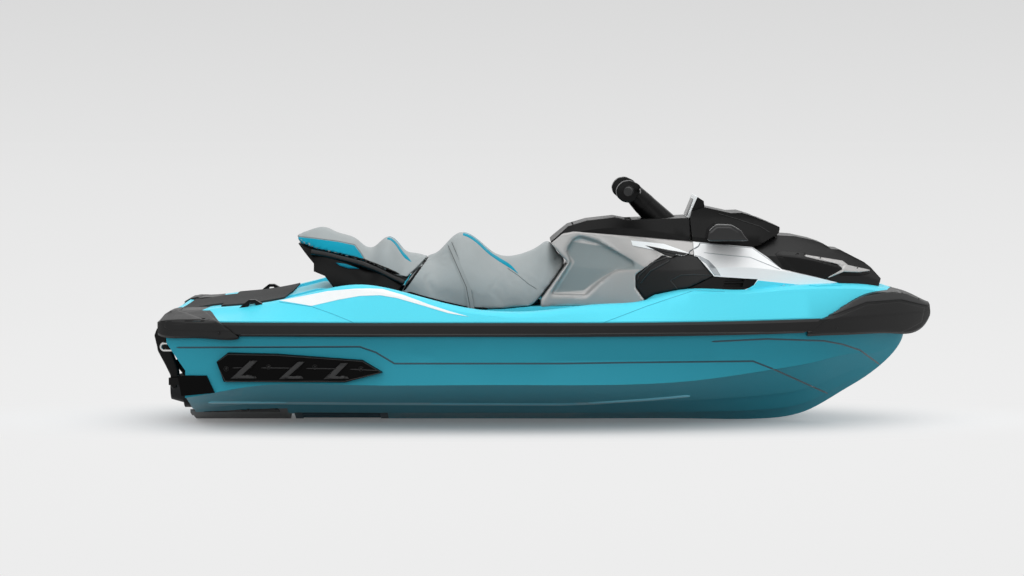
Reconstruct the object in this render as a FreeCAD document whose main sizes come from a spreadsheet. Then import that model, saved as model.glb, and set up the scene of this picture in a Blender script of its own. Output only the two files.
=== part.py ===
import FreeCAD, Part
import math
import os
from types import SimpleNamespace

import Sketcher

# Three-seat personal watercraft, bow towards +X, port towards +Y.
# The pieces are laid out from the stern (X = 0 at the ladder) and from the keel (Z = 0).
# The finished nodes are then shifted so that the origin lies on the waterline,
# on the centre plane, at the centre of buoyancy.

Vector = FreeCAD.Vector
document = FreeCAD.newDocument("Watercraft")
sheet = document.addObject("Spreadsheet::Sheet", "Sizes")

SIZES = [
    ("overall_length", 3450, "ladder to bow tip"),
    ("beam", 1255, "over the rub rails"),
    ("bond_height", 455, "keel to the flange where hull and deck are joined"),
    ("topside_height", 600, "flange to the handlebar, the upper outlines are shares of it"),
    ("origin_from_stern", 1545, "centre of buoyancy, measured from the ladder"),
    ("draught", 252, "keel to the waterline of the empty craft"),
    ("overrun", 60, "how far a cutting shape passes the surface that it cuts"),
    ("seat_gap", 0.3, "gap between a moving piece and what it rests on"),
    ("swing_gap", 6, "gap round a lid or a seat that swings"),
    # hull
    ("strake_width", 26, "flat under each lifting strake"),
    ("chine_flat", 30, "flat outside the chine"),
    ("flange_inset", 25, "hull and deck sides inside the outer face of the rail"),
    ("tunnel_half_width", 155, "jet tunnel"),
    ("tunnel_height", 325, "tunnel ceiling above the keel"),
    ("tunnel_front", 520, "tunnel front wall from the stern"),
    ("duct_radius", 84, "intake duct"),
    ("duct_angle", 25, "rise of the intake duct towards the pump"),
    ("shaft_height", 140, "pump axis above the keel"),
    ("shaft_radius", 14, "drive shaft"),
    ("shaft_tunnel_radius", 22, "bore round the drive shaft"),
    # ride plate and grate
    ("ride_plate_aft", 177, "aft end of the ride plate"),
    ("ride_plate_front", 603, "front end of the ride plate"),
    ("ride_plate_half_width", 188, ""),
    ("ride_plate_gauge", 14, ""),
    ("grate_aft", 625, ""),
    ("grate_front", 1040, ""),
    ("grate_half_width", 108, ""),
    ("grate_gauge", 12, ""),
    ("grate_slot_width", 26, ""),
    ("grate_slot_pitch", 38, ""),
    ("grate_border", 34, "solid border at each end of the slots"),
    # engine bay
    ("bay_aft", 830, "engine bay, aft wall"),
    ("bay_front", 1905, "engine bay, front wall"),
    ("bay_half_width", 172, ""),
    ("bay_floor", 95, "bay floor above the keel"),
    ("engine_length", 600, ""),
    ("engine_width", 320, ""),
    ("engine_height", 360, ""),
    ("engine_aft", 1250, ""),
    # jet pump
    ("pump_bore_radius", 80, ""),
    ("pump_wall", 10, ""),
    ("pump_flange_radius", 104, ""),
    ("pump_flange_gauge", 12, ""),
    ("pump_aft", 275, "where the straight bore ends"),
    ("venturi_neck", 205, "where the cone ends"),
    ("venturi_aft", 160, "exit of the venturi"),
    ("venturi_radius", 42, "bore at the exit"),
    ("venturi_wall", 6, ""),
    ("ear_gauge", 10, "pivot ears on the pump"),
    ("ear_height", 44, ""),
    ("ear_inner", 92, "inner face of an ear from the pump axis"),
    ("stator_hub_radius", 26, ""),
    ("stator_length", 60, ""),
    ("stator_gauge", 5, ""),
    ("stator_count", 7, ""),
    ("impeller_front", 425, ""),
    ("impeller_length", 82, ""),
    ("impeller_hub_radius", 26, ""),
    ("impeller_tip_gap", 1.5, ""),
    ("blade_gauge", 5, ""),
    ("blade_twist", 95, "turn of a blade from front to back"),
    ("blade_count", 4, ""),
    ("jet_pivot", 148, "trim and steering pivots from the stern"),
    ("trim_ring_inner", 79, ""),
    ("trim_ring_outer", 88, ""),
    ("trim_ring_width", 34, ""),
    ("pin_radius", 8, "pivot pins of the jet"),
    ("pin_clearance", 0.06, "radial clearance at a pivot pin"),
    ("nozzle_inlet", 64, "bore of the steering nozzle at the ring"),
    ("nozzle_outlet", 46, "bore of the steering nozzle at its exit"),
    ("nozzle_wall", 6, ""),
    ("nozzle_lead", 12, "how far the nozzle reaches ahead of its pivot"),
    ("nozzle_length", 78, "pivot to exit"),
    ("gate_pivot", 196, "reverse gate pivot from the stern"),
    ("gate_radius", 156, "inner radius of the gate shell"),
    ("gate_wall", 7, ""),
    ("gate_half_width", 122, ""),
    ("gate_cheek", 8, "side plate of the gate"),
    ("gate_start", 52, "lower edge of the raised gate, degrees above the jet axis"),
    ("gate_sweep", 62, "angle that the shell covers"),
    # rails and bumpers
    ("rail_bottom", 431, ""),
    ("rail_top", 489, ""),
    ("rail_bevel", 10, ""),
    ("sponson_gauge", 28, ""),
    ("guard_gauge", 14, ""),
    # ladder
    ("ladder_half_width", 196, "middle of a ladder arm from the centre plane"),
    ("ladder_arm", 26, "width of an arm"),
    ("ladder_rod", 12, "radius of a step"),
    ("ladder_pin_radius", 8, ""),
    ("ladder_bracket_gauge", 12, ""),
    # deck
    ("footwell_inner", 212, ""),
    ("footwell_floor", 400, ""),
    ("mat_gauge", 8, ""),
    ("mat_border", 22, ""),
    # steering
    ("column_lean", 45, "degrees that the column leans aft"),
    ("neck_length", 80, "fixed lower part of the column"),
    ("head_length", 116, "part of the column that turns"),
    ("column_radius", 50, ""),
    ("column_collar", 14, "straight collar at the foot of the head"),
    ("bar_radius", 11, ""),
    ("grip_radius", 18, ""),
    ("grip_length", 128, ""),
    ("bar_half_width", 385, ""),
    ("bar_rise", 20, ""),
    ("bar_sweep", 20, ""),
    ("bar_knee", 150, ""),
    # lids
    ("bin_wall", 30, ""),
    ("hinge_pin_radius", 4, "pins of the lids' hinges"),
    ("knuckle_radius", 9, "barrels of the lids' hinges"),
    ("knuckle_width", 16, ""),
    # trim laid on the forms
    ("pad_gauge", 6, "knee pads"),
    ("knee_depth", 30, "recess in the console sides for the rider's knees"),
    ("trim_gauge", 3, "blades and inserts"),
    ("strap_gauge", 4, "strap over the driver's seat"),
    ("vent_depth", 22, ""),
    ("rib_gauge", 7, "ribs and screw heads on the sponsons"),
    ("screw_radius", 6, ""),
    # fittings
    ("cleat_length", 118, ""),
    ("cleat_height", 44, ""),
    ("tow_eye_radius", 15, ""),
    ("tow_eye_rod", 5, ""),
    ("switch_pod_radius", 38, "housings inboard of the grips"),
    ("switch_pod_width", 46, ""),
    ("lever_length", 150, "brake and throttle levers"),
    ("lever_width", 18, ""),
    ("lever_gauge", 5, ""),
    ("lever_reach", 46, "lever to the grip's middle"),
]


def fill_sheet():
    for row, (alias, value, note) in enumerate(SIZES, 1):
        sheet.set(f"A{row}", alias)
        sheet.set(f"B{row}", str(value))
        sheet.set(f"C{row}", note)
        sheet.setAlias(f"B{row}", alias)
    document.recompute()
    return SimpleNamespace(**{alias: float(sheet.get(alias)) for alias, value, note in SIZES})


s = fill_sheet()

# Places are shares of a few driving lengths


def length_at(share):
    return share * s.overall_length


def half_beam_at(share):
    return share * s.beam / 2


def hull_z(share):
    return share * s.bond_height


def upper_z(share):
    return s.bond_height + share * s.topside_height


def side_points(shares):
    return [Vector(length_at(x), 0, upper_z(z)) for x, z in shares]


# Shapes that many pieces use


def prism(points, half_width):
    """Solid with this side view, spanning the craft from side to side."""
    lifted = [Vector(p.x, -half_width, p.z) for p in points]
    face = Part.Face(Part.makePolygon(lifted + lifted[:1]))
    return face.extrude(Vector(0, 2 * half_width, 0))


def side_prism(shares):
    return prism(side_points(shares), s.beam)


def box(x0, x1, y0, y1, z0, z1):
    return Part.makeBox(x1 - x0, y1 - y0, z1 - z0, Vector(x0, y0, z0))


def mirrored(shape):
    return shape.mirror(Vector(0, 0, 0), Vector(0, 1, 0))


def both_sides(shape):
    return Part.makeCompound([shape, mirrored(shape)])


def section(x, half):
    """Closed wire across the craft from points of its port half, centre plane first and last."""
    port = [Vector(x, y, z) for y, z in half]
    starboard = [Vector(x, -y, z) for y, z in reversed(half[1:-1])]
    return Part.makePolygon(port + starboard + port[:1])


def smooth_section(x, half):
    """Section whose port and starboard points, from foot to crown, lie on one smooth curve."""
    port = [Vector(x, y, z) for y, z in half]
    starboard = [Vector(x, -y, z) for y, z in reversed(half[:-1])]
    curve = Part.BSplineCurve()
    curve.interpolate(port + starboard)
    return Part.Wire([curve.toShape(), Part.makeLine(starboard[-1], port[0])])


def smooth_loft(rows):
    return Part.makeLoft([smooth_section(x, half) for x, half in rows], True, False)


def cross_loft(rows):
    return Part.makeLoft([section(x, half) for x, half in rows], True, False)


def moved(shape, x=0, y=0, z=0):
    copy = shape.copy()
    copy.translate(Vector(x, y, z))
    return copy


def whole(shape):
    """One solid of a boolean result, or a compound where the piece is a pair."""
    solids = shape.Solids
    return solids[0] if len(solids) == 1 else Part.makeCompound(solids)


nodes = []


def add_node(name, shape):
    feature = document.addObject("Part::Feature", name)
    feature.Label = name
    feature.Shape = whole(shape)
    to_origin = FreeCAD.Placement(Vector(-s.origin_from_stern, 0, -s.draught), FreeCAD.Rotation())
    feature.Placement = to_origin * feature.Placement
    nodes.append(feature)
    return feature


# Parametric bodies with sketches


def add_body(name):
    body = document.addObject("PartDesign::Body", name)
    body.Label = name
    body.setExpression("Placement.Base.x", "-Sizes.origin_from_stern")
    body.setExpression("Placement.Base.z", "-Sizes.draught")
    nodes.append(body)
    return body


def add_sketch(body, name, role, offset=None):
    sketch = body.newObject("Sketcher::SketchObject", name)
    plane = [feature for feature in body.Origin.OriginFeatures if feature.Role == role][0]
    sketch.AttachmentSupport = [(plane, "")]
    sketch.MapMode = "FlatFace"
    if offset:
        sketch.setExpression("AttachmentOffset.Base.z", offset)
    return sketch


def draw_outline(sketch, points):
    """Closed polygon whose corners are bound to expressions of the sheet."""
    corners = [[float(sketch.evalExpression(text)) for text in point] for point in points]
    first = sketch.GeometryCount
    count = len(corners)
    for index in range(count):
        start = Vector(*corners[index], 0)
        end = Vector(*corners[(index + 1) % count], 0)
        sketch.addGeometry(Part.LineSegment(start, end))
    for index in range(count):
        following = first + (index + 1) % count
        sketch.addConstraint(Sketcher.Constraint("Coincident", first + index, 2, following, 1))
    for index, point in enumerate(points):
        for kind, axis, text, value in zip(("DistanceX", "DistanceY"), (-2, -1), point, corners[index]):
            if text == "0":
                sketch.addConstraint(Sketcher.Constraint("PointOnObject", first + index, 1, axis))
            else:
                rule = Sketcher.Constraint(kind, -1, 1, first + index, 1, value)
                sketch.setExpression(f"Constraints[{sketch.addConstraint(rule)}]", text)


def draw_circle(sketch, x, y, radius):
    values = [float(sketch.evalExpression(text)) for text in (x, y, radius)]
    circle = sketch.addGeometry(Part.Circle(Vector(values[0], values[1], 0), Vector(0, 0, 1), values[2]))
    for kind, axis, text, value in zip(("DistanceX", "DistanceY"), (-2, -1), (x, y), values):
        if text == "0":
            sketch.addConstraint(Sketcher.Constraint("PointOnObject", circle, 3, axis))
        else:
            rule = Sketcher.Constraint(kind, -1, 1, circle, 3, value)
            sketch.setExpression(f"Constraints[{sketch.addConstraint(rule)}]", text)
    rule = Sketcher.Constraint("Radius", circle, values[2])
    sketch.setExpression(f"Constraints[{sketch.addConstraint(rule)}]", radius)


# Hull: rows of shares along the length, each with the keel height, chine half-width and height,
# side crease half-width and height, and the half-width at the flange

HULL_SHARES = [
    (0.026, 0.000, 0.830, 0.350, 0.890, 0.850, 0.880),
    (0.060, 0.000, 0.835, 0.360, 0.910, 0.830, 0.925),
    (0.139, 0.000, 0.860, 0.470, 0.940, 0.830, 0.970),
    (0.270, 0.000, 0.890, 0.490, 0.955, 0.820, 0.995),
    (0.422, 0.000, 0.895, 0.492, 0.955, 0.720, 1.000),
    (0.570, 0.000, 0.865, 0.486, 0.925, 0.714, 0.995),
    (0.694, 0.000, 0.765, 0.516, 0.830, 0.700, 0.920),
    (0.787, 0.000, 0.615, 0.589, 0.680, 0.700, 0.795),
    (0.842, 0.073, 0.500, 0.640, 0.560, 0.740, 0.690),
    (0.889, 0.273, 0.340, 0.690, 0.400, 0.770, 0.550),
    (0.915, 0.393, 0.220, 0.680, 0.280, 0.770, 0.450),
    (0.939, 0.530, 0.110, 0.690, 0.170, 0.790, 0.330),
    (0.956, 0.660, 0.060, 0.760, 0.110, 0.840, 0.230),
    (0.967, 0.800, 0.040, 0.850, 0.080, 0.900, 0.150),
]
STRAKE_SHARES = (0.20, 0.50)
STRAKE_FADE_SHARES = (0.75, 0.94)

# Side view of the transom, which leans forward below the flange
TRANSOM_SHARES = [(0.0575, -0.2), (0.0600, 0.615), (0.0370, 0.870), (0.0330, 1.2)]


def hull_half(row):
    """Half section from the keel up, with two strakes and a flat outside the chine."""
    x, keel, chine_y, chine_z, crease_y, crease_z, flange_y = row
    start, end = STRAKE_FADE_SHARES
    fade = min(1, max(0.1, (end - x) / (end - start)))
    half = [(0, hull_z(keel))]
    for share in STRAKE_SHARES:
        y = share * half_beam_at(chine_y)
        z = hull_z(keel + share * (chine_z - keel))
        half += [(y, z), (y + fade * min(s.strake_width, y), z)]
    half.append((half_beam_at(chine_y), hull_z(chine_z)))
    half.append((half_beam_at(chine_y) + fade * s.chine_flat * chine_y, hull_z(chine_z)))
    half.append((half_beam_at(crease_y) - s.flange_inset * crease_y, hull_z(crease_z)))
    half.append((half_beam_at(flange_y) - s.flange_inset, s.bond_height))
    half.append((0, s.bond_height))
    return half


hull_loft = cross_loft([(length_at(row[0]), hull_half(row)) for row in HULL_SHARES])


def behind_transom():
    edge = [Vector(length_at(x), 0, hull_z(z)) for x, z in TRANSOM_SHARES]
    behind = [Vector(-s.overrun, 0, edge[-1].z), Vector(-s.overrun, 0, edge[0].z)]
    return prism(edge + behind, s.beam)


def intake_duct():
    """Slanted tube from the bottom of the hull to the pump."""
    angle = math.radians(s.duct_angle)
    start = Vector(s.tunnel_front - s.duct_radius, 0, s.shaft_height)
    along = Vector(math.cos(angle), 0, -math.sin(angle))
    reach = 2 * (s.shaft_height + s.duct_radius) / math.sin(angle)
    return Part.makeCylinder(s.duct_radius, reach, start, along)


def shaft_tunnel():
    start = Vector(s.tunnel_front, 0, s.shaft_height)
    return Part.makeCylinder(s.shaft_tunnel_radius, s.engine_aft - s.tunnel_front, start, Vector(1, 0, 0))


def ride_plate_zone():
    return box(s.ride_plate_aft, s.ride_plate_front, -s.ride_plate_half_width, s.ride_plate_half_width,
               -s.overrun, s.shaft_height)


def grate_zone():
    return box(s.grate_aft, s.grate_front, -s.grate_half_width, s.grate_half_width,
               -s.overrun, s.shaft_height)


def bay_space():
    return box(s.bay_aft, s.bay_front, -s.bay_half_width, s.bay_half_width,
               s.bay_floor, upper_z(1))


raw_hull = hull_loft.cut(behind_transom())


def bottom_skin(zone, gauge):
    """Slice of the hull's bottom, as thick as the gauge."""
    return hull_loft.common(zone).cut(moved(hull_loft.common(zone), z=gauge))


ride_plate_skin = bottom_skin(ride_plate_zone(), s.ride_plate_gauge)
grate_skin = bottom_skin(grate_zone(), s.grate_gauge)


def make_hull():
    tunnel = box(-s.overrun, s.tunnel_front, -s.tunnel_half_width, s.tunnel_half_width,
                 -s.overrun, s.tunnel_height)
    wells = footwell_space()
    shape = raw_hull.cut([tunnel, intake_duct(), shaft_tunnel(), bay_space(), wells, mirrored(wells)])
    return add_node("hull", shape.cut([ride_plate_skin, grate_skin]))


def make_ride_plate():
    return add_node("ride_plate", ride_plate_skin)


GRATE_SLOT_PLACES = (-2, -1, 0, 1, 2)


def make_intake_grate():
    slots = []
    for place in GRATE_SLOT_PLACES:
        middle = place * s.grate_slot_pitch
        slots.append(box(s.grate_aft + s.grate_border, s.grate_front - s.grate_border,
                         middle - s.grate_slot_width / 2, middle + s.grate_slot_width / 2,
                         -s.overrun, s.shaft_height))
    return add_node("intake_grate", grate_skin.cut(slots))


# Deck: rows of shares along the length with the half-width at the flange, the crest's
# half-width and height, and the height on the centre plane

DECK_SHARES = [
    (0.036, 0.900, 0.640, 0.100, 0.096),
    (0.079, 0.950, 0.650, 0.120, 0.114),
    (0.127, 0.968, 0.660, 0.147, 0.138),
    (0.200, 0.985, 0.700, 0.226, 0.218),
    (0.274, 1.000, 0.770, 0.305, 0.300),
    (0.317, 1.000, 0.800, 0.270, 0.265),
    (0.360, 1.000, 0.840, 0.205, 0.205),
    (0.410, 1.000, 0.880, 0.143, 0.143),
    (0.500, 1.000, 0.885, 0.130, 0.130),
    (0.570, 0.995, 0.840, 0.170, 0.170),
    (0.620, 0.975, 0.790, 0.185, 0.185),
    (0.680, 0.930, 0.730, 0.262, 0.270),
    (0.743, 0.860, 0.670, 0.260, 0.270),
    (0.800, 0.770, 0.570, 0.278, 0.285),
    (0.850, 0.670, 0.470, 0.280, 0.290),
    (0.892, 0.540, 0.350, 0.270, 0.285),
    (0.930, 0.380, 0.220, 0.240, 0.262),
    (0.955, 0.240, 0.120, 0.190, 0.215),
    (0.965, 0.170, 0.080, 0.160, 0.185),
]
FLANGE_LIP_SHARE = 0.065
CREST_BAND_SHARE = 0.045

# Side view of the seats' undersides, which is also the top of the pedestal that they rest on
REAR_FOOT_SHARES = [(0.236, 0.243), (0.3155, 0.222)]
DRIVER_FOOT_SHARES = [(0.3185, 0.219), (0.336, 0.175), (0.376, 0.118), (0.409, 0.086), (0.453, 0.093),
                      (0.486, 0.112)]
PEDESTAL_ENDS_SHARES = [(0.185, 0.243), (0.565, 0.115), (0.645, 0.120)]
PEDESTAL_TOP_SHARES = (PEDESTAL_ENDS_SHARES[:1] + REAR_FOOT_SHARES + DRIVER_FOOT_SHARES
                       + PEDESTAL_ENDS_SHARES[1:])
FOOTWELL_FLOOR_X_SHARES = (0.178, 0.250, 0.560, 0.660)
FOOTWELL_PLAN_SHARES = [(0.160, 0.600), (0.250, 0.680), (0.320, 0.730), (0.420, 0.790), (0.520, 0.790),
                        (0.600, 0.720), (0.680, 0.620)]


def deck_half(row):
    x, flange_y, crest_y, crest_z, centre_z = row
    outer = half_beam_at(flange_y) - s.flange_inset
    band = half_beam_at(crest_y + CREST_BAND_SHARE)
    return [
        (0, s.bond_height),
        (outer, s.bond_height),
        (outer, upper_z(FLANGE_LIP_SHARE)),
        (band, upper_z(crest_z) - CREST_BAND_SHARE * s.topside_height / 2),
        (half_beam_at(crest_y), upper_z(crest_z)),
        (0, upper_z(centre_z)),
    ]


def footwell_space():
    """Port footwell: the floor's side view, cut out of the plan of the well."""
    ramp, low, toe, front = [length_at(share) for share in FOOTWELL_FLOOR_X_SHARES]
    top = upper_z(1)
    platform = upper_z(DECK_SHARES[2][4])
    step = upper_z(DECK_SHARES[10][4])
    side = prism([Vector(ramp, 0, platform), Vector(low, 0, s.footwell_floor),
                  Vector(toe, 0, s.footwell_floor), Vector(front, 0, step + s.overrun),
                  Vector(front, 0, top), Vector(ramp, 0, top)], s.beam)
    outer = [Vector(length_at(x), half_beam_at(y), 0) for x, y in FOOTWELL_PLAN_SHARES]
    inner = [Vector(outer[-1].x, s.footwell_inner, 0), Vector(outer[0].x, s.footwell_inner, 0)]
    plan = Part.Face(Part.makePolygon(outer + inner + outer[:1])).extrude(Vector(0, 0, top))
    return side.common(plan)


raw_deck = cross_loft([(length_at(row[0]), deck_half(row)) for row in DECK_SHARES])


def above_pedestal():
    top = upper_z(1)
    line = side_points(PEDESTAL_TOP_SHARES)
    points = line + [Vector(line[-1].x, 0, top), Vector(line[0].x, 0, top)]
    return prism(points, s.footwell_inner + s.overrun)


def front_bin_space():
    """Storage under the front lid."""
    aft, front = length_at(FRONT_BIN_SHARES[0]), length_at(FRONT_BIN_SHARES[1])
    half = half_beam_at(FRONT_BIN_SHARES[2])
    return box(aft, front, -half, half, upper_z(FRONT_BIN_SHARES[3]), upper_z(1))


FRONT_BIN_SHARES = (0.715, 0.775, 0.240, 0.020)


def deck_shape():
    wells = footwell_space()
    return raw_deck.cut([wells, mirrored(wells), above_pedestal(), bay_space(), front_bin_space()])


def make_deck():
    return add_node("deck", deck_shape())


# Rails and bumpers: plan outline of the outer face

GUNWALE_SHARES = [
    (0.026, 0.850), (0.040, 0.895), (0.088, 0.955), (0.180, 0.985), (0.290, 1.000), (0.420, 1.000),
    (0.550, 1.000), (0.650, 0.960), (0.754, 0.855), (0.834, 0.715), (0.870, 0.630), (0.905, 0.520),
    (0.940, 0.385), (0.965, 0.275), (0.985, 0.165), (1.000, 0.080),
]
RAIL_END_SHARES = (0.1164, 0.834)
RAIL_SLANT_SHARE = 0.011


def rail_half(y, low, high):
    bevel = s.rail_bevel
    return [(0, low), (y - bevel, low), (y, low + bevel), (y, high - bevel), (y - bevel, high), (0, high)]


def rail_loft():
    rows = [(length_at(x), rail_half(half_beam_at(y), s.rail_bottom, s.rail_top)) for x, y in GUNWALE_SHARES]
    return cross_loft(rows)


def make_gunwale_rails():
    aft, front = [length_at(share) for share in RAIL_END_SHARES]
    slant = length_at(RAIL_SLANT_SHARE)
    zone = prism([Vector(aft + slant, 0, s.rail_bottom), Vector(front - slant, 0, s.rail_bottom),
                  Vector(front + slant, 0, s.rail_top), Vector(aft - slant, 0, s.rail_top)], s.beam)
    return add_node("gunwale_rails", rail_loft().common(zone).cut([raw_hull, raw_deck]))


STERN_BUMPER_SHARES = [
    # length, half-width, bottom height and top height above or below the flange
    (0.026, 0.860, -0.040, 0.060),
    (0.036, 0.900, -0.055, 0.095),
    (0.052, 0.925, -0.058, 0.112),
    (0.090, 0.958, -0.058, 0.124),
    (0.130, 0.975, -0.056, 0.128),
]
STERN_BUMPER_TOP_SHARE = 0.68
STERN_BUMPER_INNER_SHARE = 0.400
STERN_BUMPER_NOSE_SHARE = 0.0830  # where its slanted front end meets its top


def bumper_half(row):
    x, y, low, high = row
    outer = half_beam_at(y)
    lip = min(s.rail_top, upper_z(high) - s.rail_bevel / 2)
    return [(0, upper_z(low)), (outer - s.rail_bevel, upper_z(low)), (outer, upper_z(low) + s.rail_bevel),
            (outer, lip), (outer * STERN_BUMPER_TOP_SHARE, upper_z(high)), (0, upper_z(high))]


def make_stern_bumper():
    shape = cross_loft([(length_at(row[0]), bumper_half(row)) for row in STERN_BUMPER_SHARES])
    aft = length_at(RAIL_END_SHARES[0])
    slant = length_at(RAIL_SLANT_SHARE)
    nose = length_at(STERN_BUMPER_NOSE_SHARE)
    side = prism([Vector(-s.overrun, 0, upper_z(-1)), Vector(aft + slant, 0, upper_z(-1)),
                  Vector(aft + slant, 0, s.rail_bottom), Vector(aft - slant, 0, s.rail_top),
                  Vector(nose, 0, upper_z(STERN_BUMPER_SHARES[-1][-1])), Vector(nose, 0, upper_z(1)),
                  Vector(-s.overrun, 0, upper_z(1))], s.beam)
    inner = half_beam_at(STERN_BUMPER_INNER_SHARE)
    middle = box(-s.overrun, s.overall_length, -inner, inner, 0, upper_z(1))
    return add_node("stern_bumper", shape.common(side).cut([raw_hull, raw_deck, middle]))


BOW_BUMPER_SHARES = [
    (0.828, 0.722, -0.066, 0.055, 0.010),
    (0.870, 0.635, -0.066, 0.110, 0.040),
    (0.905, 0.525, -0.070, 0.200, 0.085),
    (0.940, 0.390, -0.080, 0.215, 0.090),
    (0.965, 0.280, -0.095, 0.190, 0.080),
    (0.985, 0.180, -0.070, 0.140, 0.060),
    (1.000, 0.085, 0.020, 0.102, 0.030),
]


def bow_half(row):
    x, y, low, high, inset = row
    outer = half_beam_at(y)
    crown = outer - half_beam_at(inset)
    lip = min(s.rail_top, upper_z(high) - s.rail_bevel / 2)
    return [(0, upper_z(low)), (outer - s.rail_bevel, upper_z(low)), (outer, upper_z(low) + s.rail_bevel),
            (outer, lip), (crown, upper_z(high)), (0, upper_z(high) + s.rail_bevel)]


def make_bow_bumper():
    shape = cross_loft([(length_at(row[0]), bow_half(row)) for row in BOW_BUMPER_SHARES])
    front = length_at(RAIL_END_SHARES[1])
    slant = length_at(RAIL_SLANT_SHARE)
    ahead = prism([Vector(front - slant, 0, upper_z(-1)), Vector(front - slant, 0, s.rail_bottom),
                   Vector(front + slant, 0, s.rail_top), Vector(front + slant, 0, upper_z(1)),
                   Vector(s.overall_length + s.overrun, 0, upper_z(1)),
                   Vector(s.overall_length + s.overrun, 0, upper_z(-1))], s.beam)
    return add_node("bow_bumper", shape.common(ahead).cut([raw_hull, raw_deck]))


# Things fastened to the hull's sides

SPONSON_SHARES = [(0.0997, 0.708), (0.1136, 0.791), (0.1725, 0.783), (0.2787, 0.726), (0.3032, 0.614),
                  (0.2573, 0.521), (0.1083, 0.521)]
GUARD_SHARES = [(0.0507, 0.573), (0.0867, 0.573), (0.0964, 0.413), (0.0553, 0.381)]


SIDE_PIECE_START_SHARE = 0.5


def hull_prism(shares):
    """Port half of the space with this side view."""
    points = [Vector(length_at(x), half_beam_at(SIDE_PIECE_START_SHARE), hull_z(z)) for x, z in shares]
    return Part.Face(Part.makePolygon(points + points[:1])).extrude(Vector(0, s.beam, 0))


def side_skin(zone, gauge):
    """Plate on the port side of the hull within the zone, standing out by the gauge."""
    inside = hull_loft.common(zone)
    return moved(inside, y=gauge).common(zone).cut(inside)


RIB_SHARES = [
    [(0.1195, 0.563), (0.1393, 0.718), (0.1492, 0.713), (0.1359, 0.581), (0.1474, 0.573), (0.1457, 0.556)],
    [(0.1768, 0.563), (0.1966, 0.713), (0.2071, 0.706), (0.1949, 0.581), (0.2040, 0.573), (0.2024, 0.556)],
    [(0.2342, 0.563), (0.2507, 0.690), (0.2595, 0.676), (0.2489, 0.578), (0.2574, 0.573), (0.2555, 0.556)],
]
SPONSON_SCREW_SHARES = [(0.1124, 0.648), (0.1641, 0.663), (0.2207, 0.650), (0.2770, 0.610)]


def make_sponsons():
    """Plates on the hull's sides, each with three slanted ribs and four screws."""
    plate = side_skin(hull_prism(SPONSON_SHARES), s.sponson_gauge)
    raised = [hull_prism(rib) for rib in RIB_SHARES]
    for x, z in SPONSON_SCREW_SHARES:
        start = Vector(length_at(x), half_beam_at(SIDE_PIECE_START_SHARE), hull_z(z))
        raised.append(Part.makeCylinder(s.screw_radius, s.beam, start, Vector(0, 1, 0)))
    details = [moved(plate, y=s.rib_gauge).common(shape) for shape in raised]
    return add_node("sponsons", both_sides(plate.fuse(details)))


def make_chine_guards():
    return add_node("stern_chine_guards", both_sides(side_skin(hull_prism(GUARD_SHARES), s.guard_gauge)))


TOW_EYE_SHARES = (0.0310, 0.740, 0.820)


def make_tow_eyes():
    """U-bolts that stand upright on the transom."""
    x, y, z = length_at(TOW_EYE_SHARES[0]), half_beam_at(TOW_EYE_SHARES[1]), hull_z(TOW_EYE_SHARES[2])
    radius = s.tow_eye_radius
    bend = Part.makeTorus(radius, s.tow_eye_rod, Vector(x, y, z), Vector(0, 1, 0))
    bend = bend.common(box(x - s.overrun, x, y - radius, y + radius, z - s.overrun, z + s.overrun))
    legs = []
    for side in (-1, 1):
        start = Vector(x, y, z + side * radius)
        legs.append(Part.makeCylinder(s.tow_eye_rod, 2 * s.overrun, start, Vector(1, 0, 0)))
    return add_node("tow_eyes", both_sides(bend.fuse(legs).common(behind_transom())))


CLEAT_SHARES = (0.1385, 0.655, 0.120)
CLEAT_LOOP_SHARES = [
    (-0.50, 0.00), (-0.50, 0.10), (-0.32, 0.55), (-0.10, 1.00), (0.12, 1.00), (0.38, 0.60), (0.50, 0.10),
    (0.50, 0.00),
]
CLEAT_EYE_SHARES = [(-0.13, 0.30), (-0.07, 0.72), (0.10, 0.72), (0.16, 0.30)]
CLEAT_WIDTH_SHARE = 0.25


def make_deck_cleats():
    """Arched mooring loops, one on each side of the rear deck."""
    x, y, z = length_at(CLEAT_SHARES[0]), half_beam_at(CLEAT_SHARES[1]), upper_z(CLEAT_SHARES[2])
    half = CLEAT_WIDTH_SHARE * s.cleat_length / 2

    def loop(shares):
        points = [Vector(x + u * s.cleat_length, 0, z + w * s.cleat_height) for u, w in shares]
        return moved(prism(points, half), y=y)

    return add_node("deck_cleats", both_sides(loop(CLEAT_LOOP_SHARES).cut([loop(CLEAT_EYE_SHARES), raw_deck])))


# Jet drive

JET_AXIS = "Sizes.shaft_height"


def add_jet_sketch(body, name):
    """Sketch in the centre plane whose horizontal axis is the jet axis."""
    sketch = add_sketch(body, name, "XZ_Plane")
    sketch.setExpression("AttachmentOffset.Base.y", JET_AXIS)
    return sketch


def add_revolution(body, name, sketch):
    turned = body.newObject("PartDesign::Revolution", name)
    turned.Profile = sketch
    turned.ReferenceAxis = (sketch, ["H_Axis"])
    turned.Angle = 360
    document.recompute()
    return turned


def add_polar(body, name, feature, sketch, count):
    document.recompute()
    pattern = body.newObject("PartDesign::PolarPattern", name)
    pattern.Originals = [feature]
    pattern.Axis = (sketch, ["H_Axis"])
    pattern.Angle = 360
    pattern.Occurrences = count
    body.Tip = pattern
    document.recompute()
    return pattern


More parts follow.
